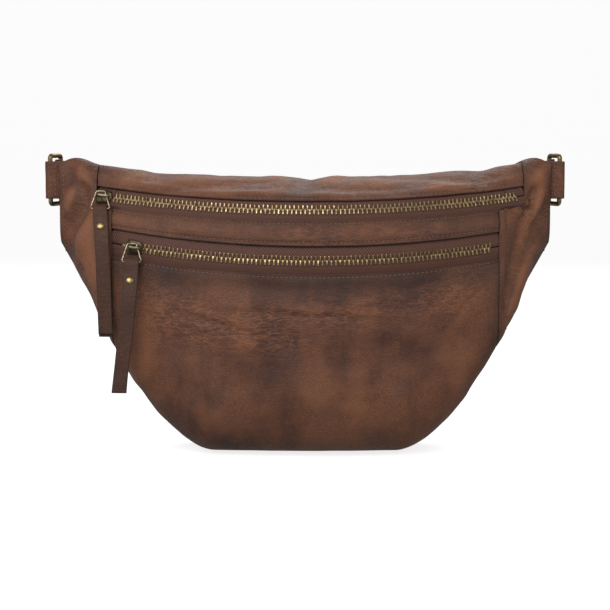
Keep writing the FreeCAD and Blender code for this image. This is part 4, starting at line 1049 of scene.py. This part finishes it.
# ---------------------------------------------------------------- pull tabs
# A strip of the same hide, folded over the ring's lower bar and riveted through both
# layers. Its cut edges are stained and rubbed paler, and it hangs with a slight curl.
TAB_WIDTH = 9.0
TAB_LAYER = 1.3
TAB_LAYER_GAP = 0.5
TAB_BORE = 1.3
TAB_NECK = 7.0
TAB_RIVET_AT = 12.0
TAB_BEND = (15.0, 28.0)
RING_YAW = -24.0
RING_LOW = 9.4
BRIDGE_CENTRE = 5.55
PULLS = {"main": (MAIN_ZIP, MAIN_SLIDER_X, (0.0, -0.42, -1.0), (76.0, 77.0), 0.40, 0.06),
         "pocket": (POCKET_ZIP, POCKET_SLIDER_X, (0.0, -0.30, -1.0), (80.0, 78.0), 0.28, -0.07)}

tab_hide = leather("tab_hide", brown=(0.078, 0.032, 0.021), gloss=0.46, grain=0.8, worn=0.6, pale=0.42)
rivet_brass = metal("rivet_brass", (0.46, 0.34, 0.15), (0.20, 0.14, 0.06), 0.30, 0.35, 2.5)


def unit(vector):
    """The vector at length 1."""
    return np.asarray(vector, float) / np.linalg.norm(vector)


def pull_axes(line, x, hang):
    """The ring's bar, and its width, hanging and outward directions: width is the travel
    turned by the yaw towards outward, squared to the hanging direction."""
    angle = zip_angle(line, x)
    _, travel, _, out = zip_axes(line, angle)
    hang = unit(hang)
    yaw = math.radians(RING_YAW)
    width = travel * math.cos(yaw) + out * math.sin(yaw)
    width = unit(width - hang * (width @ hang))
    front = np.cross(width, hang)
    front = front if front @ out > 0 else -front
    return zip_point(line, angle) + out * BRIDGE_CENTRE + hang * RING_LOW, width, hang, front


def smooth_line(points, step, passes=6):
    """Points 'step' apart along a line of points, each moved to the mean of its neighbours
    and itself a few times, with the ends kept."""
    points = np.asarray(points, float)
    run = run_length(points[None], 1)[0]
    places = np.linspace(0, run[-1], max(3, int(run[-1] / step)))
    line = np.stack([np.interp(places, run, points[:, i]) for i in range(points.shape[1])], -1)
    for _ in range(passes):
        line[1:-1] = (line[:-2] + 2 * line[1:-1] + line[2:]) / 4
    return line


def tab_line(lengths, bend):
    """Middle of the strip in (down, out): down the front layer's neck, round the bar, and
    along both layers, which lean back past the bend until they hang plumb."""
    layers = []
    for length, sign in zip(lengths, (1, -1)):
        down = np.linspace(length, 1.5, 60)
        start, stop = TAB_BEND
        lean = np.where(down <= start, 0.0, np.where(down <= stop, (down - start) ** 2 / (2 * (stop - start)),
                                                     down - (start + stop) / 2))
        part = np.clip((down - 1.5) / (TAB_NECK - 1.5), 0, 1)
        ease = part * part * (3 - 2 * part)
        gap = TAB_LAYER_GAP / 2 + TAB_LAYER / 2
        loop = TAB_BORE + TAB_LAYER / 2
        layers.append(np.stack([down, sign * (loop + (gap - loop) * ease) - bend * lean], -1))
    turn = np.linspace(0, math.pi, 13)
    radius = TAB_BORE + TAB_LAYER / 2
    bow = np.stack([-radius * np.sin(turn), radius * np.cos(turn)], -1)
    return np.concatenate([layers[0], bow, layers[1][::-1]])


def dome(reach, radius, height, rings=9, around=24):
    """A rivet's head on each side of the layers: a flat rim, then a cap that follows a
    quarter ellipse; the two are joined by its shaft."""
    turn = np.linspace(0, math.pi / 2, rings)
    r = np.concatenate([[radius * 0.98, radius], radius * np.cos(turn)[1:]]) + 0.01
    z = np.concatenate([[0.0, 0.22], 0.22 + (height - 0.22) * np.sin(turn)[1:]]) + reach
    r = np.concatenate([r[::-1], [1.1, 1.1], r])
    z = np.concatenate([-z[::-1], [-reach, reach], z])
    spin = np.linspace(0, 2 * math.pi, around, endpoint=False)
    points = np.stack(np.broadcast_arrays(r[:, None] * np.cos(spin), r[:, None] * np.sin(spin),
                                          z[:, None]), -1)
    index = np.arange(points.shape[0] * around).reshape(-1, around)
    beside = np.roll(index, -1, axis=1)
    faces = np.stack([index[:-1], index[1:], beside[1:], beside[:-1]], -1).reshape(-1, 4)
    return points.reshape(-1, 3), faces


def basis(axis):
    """Two directions at right angles to an axis, and the axis."""
    axis = unit(axis)
    first = unit(np.cross(axis, (0.31, 0.2, 0.93)))
    return np.stack([first, np.cross(axis, first), axis])


for word, (line, x, hang, lengths, bend, skew) in PULLS.items():
    bar, width, hang, front = pull_axes(line, x, hang)
    down = unit(hang + width * skew)
    middle = smooth_line(tab_line(lengths, bend), 0.9, 3)
    run = run_length(middle[None], 1)[0]
    tab_steps = steps(run[-1], 0.9) * run[-1]
    middle = np.stack([np.interp(tab_steps, run, middle[:, i]) for i in range(2)], -1)
    slope = np.gradient(middle, axis=0)
    slope /= np.linalg.norm(slope, axis=-1, keepdims=True)
    outer = middle + np.stack([-slope[:, 1], slope[:, 0]], -1) * (TAB_LAYER / 2)
    if outer[len(outer) // 2, 0] > middle[len(middle) // 2, 0]:
        outer = 2 * middle - outer
    share = (steps(TAB_WIDTH, 0.5) - 0.5)[None] * TAB_WIDTH
    curl = 0.30 * (share / (TAB_WIDTH / 2)) ** 2 * np.clip((middle[:, :1] - 20) / 40, 0, 1)
    sway = 0.5 * np.sin(middle[:, :1] / 17.0)
    grid = (bar + down * outer[:, None, :1] + front * (outer[:, None, 1:] + curl[..., None])
            + width * (share * (1 + 0.02 * np.sin(middle[:, :1] / 6)) + sway)[..., None])
    if face_normals(grid)[20, 8] @ front < 0:
        grid = grid[:, ::-1]
    height = 0.10 * ripple(grid[..., 0], grid[..., 2], 7.0, 71) * edge_fade(grid, 2.0)
    tab, _ = leather_piece(f"{word}_tab_leather", grid, TAB_LAYER, height, 0.5)
    dress(tab, tab_hide, f"{word}_zip_tab", [f"{word}_pull_tab"])
    points, faces = outward_faces(*dome(TAB_LAYER_GAP / 2 + TAB_LAYER - 0.05, 2.35, 1.0))
    points = bar + down * TAB_RIVET_AT + points @ basis(front)
    dress(make_piece(f"{word}_tab_rivet_brass", points, faces), rivet_brass,
          f"{word}_zip_tab", [f"{word}_tab_rivet"])

# ---------------------------------------------------------------- loops and rings of the wings
# A folded strip of hide is sewn into each wing's tip and holds a rectangular brass wire
# ring, which the strap hooks on to.
LOOP_X = 164.0
LOOP_Y = 14.43
RING_Z = 173.0
LOOP_HEIGHT = 24.0
LOOP_INNER_Y = 13.55
LOOP_OUTER_Y = 15.31
LOOP_RUN = (150, 154, 158)
RING_WIRE = 1.5
FOLD_ROOM = 0.5


def ribbon(line, height, low, slope=0.0):
    """A grid on a line in plan: its points, carried up by the height, and raised with X by
    the slope."""
    up = steps(height, 1.2)[None] * height + low
    x = np.repeat(line[:, :1], up.shape[1], 1)
    y = np.repeat(line[:, 1:2], up.shape[1], 1)
    return np.stack([x, y, up + slope * x], -1)


def folded(axis_x, axis_y, side, radius, near, far):
    """Near points, a half circle round the outer side of a bar, and far points."""
    turn = np.linspace(-math.pi / 2, math.pi / 2, 13)
    bow = np.stack([axis_x + side * radius * np.cos(turn), axis_y + radius * np.sin(turn)], -1)
    return np.concatenate([near, bow, far])


def band_of(name, line, thickness, height, low, material, body, node, slope=0.0, seed=81):
    """A leather band on a line in plan, half its thickness either side of the line."""
    slopes = np.gradient(line, axis=0)
    slopes /= np.linalg.norm(slopes, axis=-1, keepdims=True)
    face = line + np.stack([slopes[:, 1], -slopes[:, 0]], -1) * thickness / 2
    grid = ribbon(face, height, low, slope)
    uneven = 0.08 * ripple(grid[..., 0] + grid[..., 1], grid[..., 2], 9.0, seed) * edge_fade(grid, 2.0)
    sign = 1 if (face_normals(grid)[3, 3, :2] @ (face[3] - line[3])) > 0 else -1
    piece, _ = leather_piece(name, grid[:, ::sign], thickness, uneven[:, ::sign], 0.35)
    return dress(piece, material, body, [node])


ring_brass = metal("ring_brass", (0.44, 0.32, 0.15), (0.15, 0.105, 0.050), 0.24, 0.35, 5.0)
for side, word in ((-1, "left"), (1, "right")):
    radius = RING_WIRE + FOLD_ROOM + LEATHER / 2
    near = np.array([[side * x, LOOP_INNER_Y] for x in LOOP_RUN])
    far = np.array([[side * x, LOOP_OUTER_Y] for x in LOOP_RUN[::-1]])
    path = smooth_line(folded(side * LOOP_X, LOOP_Y, side, radius, near, far), 0.8, 2)
    band_of(f"{word}_loop_leather", path, LEATHER, LOOP_HEIGHT, RING_Z - LOOP_HEIGHT / 2, hide,
            "bag", f"{word}_ring_loop")
    row = np.stack([np.full(20, side * 160.4), np.full(20, LOOP_Y - 2.35), np.linspace(162.5, 183.5, 20)], -1)
    stitch_row(f"{word}_loop_stitches", row, np.array([0.0, -1.0, 0.0]), "bag")
    refinish(ring_brass, f"{word}_wing_ring")

# ---------------------------------------------------------------- waist straps
# Thick bridle leather, folded behind the bag. The short strap ends in the buckle; the long
# one has five punched holes, and is folded in three. Each fold round a ring is riveted.
STRAP_LEATHER = 1.8
STRAP_WIDTH = 25.0
STRAP_Y = 32.6
STRAP_PITCH = 3.2
STRAP_DROOP = 0.25
RING_REACH = (5.0, 12.0)
BUCKLE_X = -24.0
BUCKLE_WIRE = 1.6
HOLE_RADIUS = 2.0
PRONG_SLOT_X = 2.5
PRONG_SLOT_Y = 2.9
PRONG_SLOT_RADIUS = 2.6
ROOT_RIVET_X = 130.0
ROOT_RIVET_IN = 1.15
BUCKLE_RIVET_X = -46.0
BUCKLE_RIVET_IN = 1.1
RIVET_HEAD = (2.4, 1.0)

strap_hide = leather("strap_hide", brown=(0.095, 0.038, 0.024), gloss=0.38, grain=0.7, worn=0.35)


def strap_z(x):
    """Height of a strap's middle: the ring's, less the droop for each step inwards."""
    return RING_Z - STRAP_DROOP * (LOOP_X - RING_REACH[0] - np.abs(x))


def turned_back(x, y, side):
    """Half circle where a strap doubles back on itself."""
    radius = STRAP_PITCH / 2
    turn = np.linspace(-math.pi / 2, math.pi / 2, 9)
    return np.stack([x + side * radius * np.cos(turn), y + radius + radius * np.sin(turn)], -1)


def strap_root(side):
    """A strap's short end, round the ring's rear bar and on to its long layer."""
    near = [(126, -2.3), (132, -2.3), (138, -3.3), (148, -6.5), (154, -8.4)]
    far = [(154, -2.7), (148, -1.3), (138, -0.2), (132, 0.0)]
    near = np.array([[side * x, STRAP_Y + y] for x, y in near])
    far = np.array([[side * x, STRAP_Y + y] for x, y in far])
    bar = (side * (LOOP_X - RING_REACH[0]), LOOP_Y + RING_REACH[1])
    return folded(*bar, side, RING_WIRE + FOLD_ROOM + STRAP_LEATHER / 2, near, far)


def layer(start, stop, y):
    """One straight layer of a strap."""
    x = np.linspace(start, stop, 24)
    return np.stack([x, 0 * x + y], -1)


def cut_holes(piece, spots, radius):
    """Punches round holes through a piece along Y."""
    turn = np.linspace(0, 2 * math.pi, 20, endpoint=False)
    for x, y, z in spots:
        ring = np.stack([x + radius * np.cos(turn), 0 * turn, z + radius * np.sin(turn)], -1)
        depth = np.array([0.0, 1.0, 0.0]) * 2.2
        points = np.concatenate([ring + (0, y, 0) - depth, ring + (0, y, 0) + depth])
        mesh = bpy.data.meshes.new("punch")
        around = np.arange(20)
        sides = np.stack([around, (around + 1) % 20, (around + 1) % 20 + 20, around + 20], -1).tolist()
        mesh.from_pydata((points * 0.001).tolist(), [], sides + [around[::-1].tolist(), (around + 20).tolist()])
        punch = bpy.data.objects.new("punch", mesh)
        bpy.context.scene.collection.objects.link(punch)
        cut = piece.modifiers.new("cut", "BOOLEAN")
        cut.operation, cut.solver, cut.object = "DIFFERENCE", "EXACT", punch
        graph = bpy.context.evaluated_depsgraph_get()
        result = bpy.data.meshes.new_from_object(piece.evaluated_get(graph), depsgraph=graph)
        piece.modifiers.clear()
        piece.data = result
        bpy.data.objects.remove(punch)


low = strap_z(0) - STRAP_WIDTH / 2
outer_y = STRAP_Y + 2 * STRAP_PITCH
long_line = np.concatenate([strap_root(1), layer(122, 20, STRAP_Y), turned_back(14, STRAP_Y, -1),
                            layer(20, 110, STRAP_Y + STRAP_PITCH),
                            turned_back(116, STRAP_Y + STRAP_PITCH, 1),
                            layer(110, 8, outer_y)])
long_strap = band_of("right_strap_leather", smooth_line(long_line, 1.2, 2), STRAP_LEATHER, STRAP_WIDTH, low,
                     strap_hide, "long_strap", "right_strap", STRAP_DROOP, 91)
cut_holes(long_strap, [(x, outer_y, strap_z(x)) for x in np.linspace(22, 102, 5)], HOLE_RADIUS)

bar_y = STRAP_Y + 1.5
turn = np.linspace(-math.pi / 2, math.pi / 2, 13)
radius = BUCKLE_WIRE + FOLD_ROOM + STRAP_LEATHER / 2
bow = np.stack([BUCKLE_X + radius * np.cos(turn), bar_y + radius * np.sin(turn)], -1)
back = np.array([[-30, 3.0], [-35, 2.3], [-42, 2.2], [-50, 2.2], [-58, 2.2]]) + (0, STRAP_Y)
short_line = np.concatenate([strap_root(-1), layer(-122, -40, STRAP_Y),
                             [[-34, STRAP_Y], [-30, STRAP_Y - 0.3]], bow, back])
short_strap = band_of("left_strap_leather", smooth_line(short_line, 1.0, 1), STRAP_LEATHER, STRAP_WIDTH, low,
                      strap_hide, "short_strap", "left_strap", -STRAP_DROOP, 92)
slots = [(BUCKLE_X + PRONG_SLOT_X, bar_y + y, strap_z(BUCKLE_X)) for y in (-PRONG_SLOT_Y, PRONG_SLOT_Y)]
cut_holes(short_strap, slots, PRONG_SLOT_RADIUS)

for side, word in ((-1, "left"), (1, "right")):
    parts = []
    for lift in (-6.0, 6.0):
        points, faces = outward_faces(*dome(ROOT_RIVET_IN + STRAP_LEATHER / 2, *RIVET_HEAD))
        place = (side * ROOT_RIVET_X, STRAP_Y - ROOT_RIVET_IN, strap_z(ROOT_RIVET_X) + lift)
        parts.append((points @ basis((0, 1, 0)) + place, faces))
    rivets = make_piece(f"{word}_strap_rivets_brass", *joined(parts))
    dress(rivets, rivet_brass, "short_strap" if side < 0 else "long_strap",
          [f"{word}_strap_rivets"])
points, faces = outward_faces(*dome(BUCKLE_RIVET_IN + STRAP_LEATHER / 2, *RIVET_HEAD))
points = points @ basis((0, 1, 0)) + (BUCKLE_RIVET_X, STRAP_Y + BUCKLE_RIVET_IN, strap_z(BUCKLE_RIVET_X))
dress(make_piece("buckle_rivet_brass", points, faces), rivet_brass, "short_strap",
      ["buckle_strap_rivet"])
refinish(ring_brass, "buckle_frame", "buckle_prong")

# ---------------------------------------------------------------- strap keeper
# A narrow band of the strap's leather, closed round both layers, which holds the long
# strap's end when the buckle is done up.
KEEPER_X = -100.0
KEEPER_WIDTH = 10.0
KEEPER_ROOM = 1.6
keeper_low = STRAP_Y - 1.25 - LEATHER / 2
keeper_high = STRAP_Y + 3.1 + LEATHER / 2
keeper_half = STRAP_WIDTH / 2 + KEEPER_ROOM + LEATHER / 2
turn = np.linspace(0, 2 * math.pi, 97)
c, s = np.cos(turn), np.sin(turn)
shape = (np.abs(c) ** 9 + np.abs(s) ** 9) ** (-1 / 9)
keeper_y = (keeper_low + keeper_high) / 2 + (keeper_high - keeper_low) / 2 * c * shape
keeper_z = strap_z(KEEPER_X) + keeper_half * s * shape
face_y = keeper_y + LEATHER / 2 * np.clip(c * 4, -1, 1)
face_z = keeper_z + LEATHER / 2 * np.clip(s * 4, -1, 1)
wide = KEEPER_X + KEEPER_WIDTH * (steps(KEEPER_WIDTH, 0.7) - 0.5)
keeper_grid = np.stack(np.broadcast_arrays(wide[None], face_y[:, None], face_z[:, None]), -1)
if face_normals(keeper_grid)[2, 5, 1] < 0:
    keeper_grid = keeper_grid[::-1]
keeper, _ = leather_piece("strap_keeper_leather", keeper_grid, LEATHER, keeper_grid[..., 0] * 0, 0.0)
dress(keeper, strap_hide, "keeper", ["strap_keeper"])

# ---------------------------------------------------------------- floor, light and camera
# A plain white sweep, one large soft light over the front, a fill at each side, and a long
# lens a little above the middle of the bag.
SWEEP_HALF = 4.0
SWEEP_FRONT = -2.0
SWEEP_BACK = 1.6
SWEEP_RADIUS = 1.0
SWEEP_TOP = 4.0
turn = np.linspace(0, math.pi / 2, 24)
sweep_y = np.concatenate([[SWEEP_FRONT, 0.0], SWEEP_BACK + SWEEP_RADIUS * np.sin(turn),
                          [SWEEP_BACK + SWEEP_RADIUS]])
sweep_z = np.concatenate([[0.0, 0.0], SWEEP_RADIUS * (1 - np.cos(turn)), [SWEEP_TOP]])
sweep_x = np.array([SWEEP_HALF, -SWEEP_HALF])[:, None]
sweep_grid = np.stack(np.broadcast_arrays(sweep_x, sweep_y, sweep_z), -1)
sweep_mesh = bpy.data.meshes.new("sweep")
sweep_mesh.from_pydata(sweep_grid.reshape(-1, 3).tolist(), [], sheet_faces(*sweep_grid.shape[:2]).tolist())
sweep = bpy.data.objects.new("sweep", sweep_mesh)
bpy.context.scene.collection.objects.link(sweep)
paper = Finish("white_paper", Base_Color=(0.60, 0.60, 0.60), Roughness=1.0, Specular_IOR_Level=0.0,
               Emission_Color=(1.0, 1.0, 1.0), Emission_Strength=0.80)
sweep_mesh.materials.append(paper.material)
paper.material.cycles.emission_sampling = "NONE"
sweep.visible_diffuse = False
sweep.visible_glossy = False


def softbox(name, place, aim, width, height, watts, tint=(1.0, 1.0, 1.0)):
    """An area light that faces a point."""
    light = bpy.data.lights.new(name, "AREA")
    light.shape, light.size, light.size_y, light.energy, light.color = "RECTANGLE", width, height, watts, tint
    lamp = bpy.data.objects.new(name, light)
    bpy.context.scene.collection.objects.link(lamp)
    lamp.location = place
    lamp.rotation_euler = (Vector(aim) - Vector(place)).to_track_quat("-Z", "Y").to_euler()


softbox("over_front", (-0.25, -1.00, 0.80), (0, 0, 0.09), 0.9, 0.6, 7.6)
softbox("left_fill", (-1.15, -0.65, 0.45), (0, 0, 0.09), 0.5, 0.9, 2.2)
softbox("right_fill", (1.15, -0.75, 0.55), (0, 0, 0.09), 0.5, 0.9, 2.2)
softbox("over_back", (0.2, 0.9, 0.9), (0, 0, 0.12), 1.0, 0.5, 4.5)
world = bpy.data.worlds.new("room")
world.use_nodes = True
world.node_tree.nodes["Background"].inputs["Color"].default_value = (1.0, 1.0, 1.0, 1.0)
world.node_tree.nodes["Background"].inputs["Strength"].default_value = 0.22
bpy.context.scene.world = world

CAMERA_PLACE = (0.0, -1.080, 0.2075)
CAMERA_AIM = (0.0, 0.0, 0.0935)
lens = bpy.data.cameras.new("camera")
lens.lens = 100.0
lens.sensor_width = 36.0
camera = bpy.data.objects.new("camera", lens)
bpy.context.scene.collection.objects.link(camera)
camera.location = CAMERA_PLACE
tip = math.atan2(CAMERA_PLACE[2] - CAMERA_AIM[2], CAMERA_AIM[1] - CAMERA_PLACE[1])
camera.rotation_euler = (math.pi / 2 - tip, 0.0, 0.0)
bpy.context.scene.camera = camera
bpy.context.scene.view_settings.view_transform = "Standard"
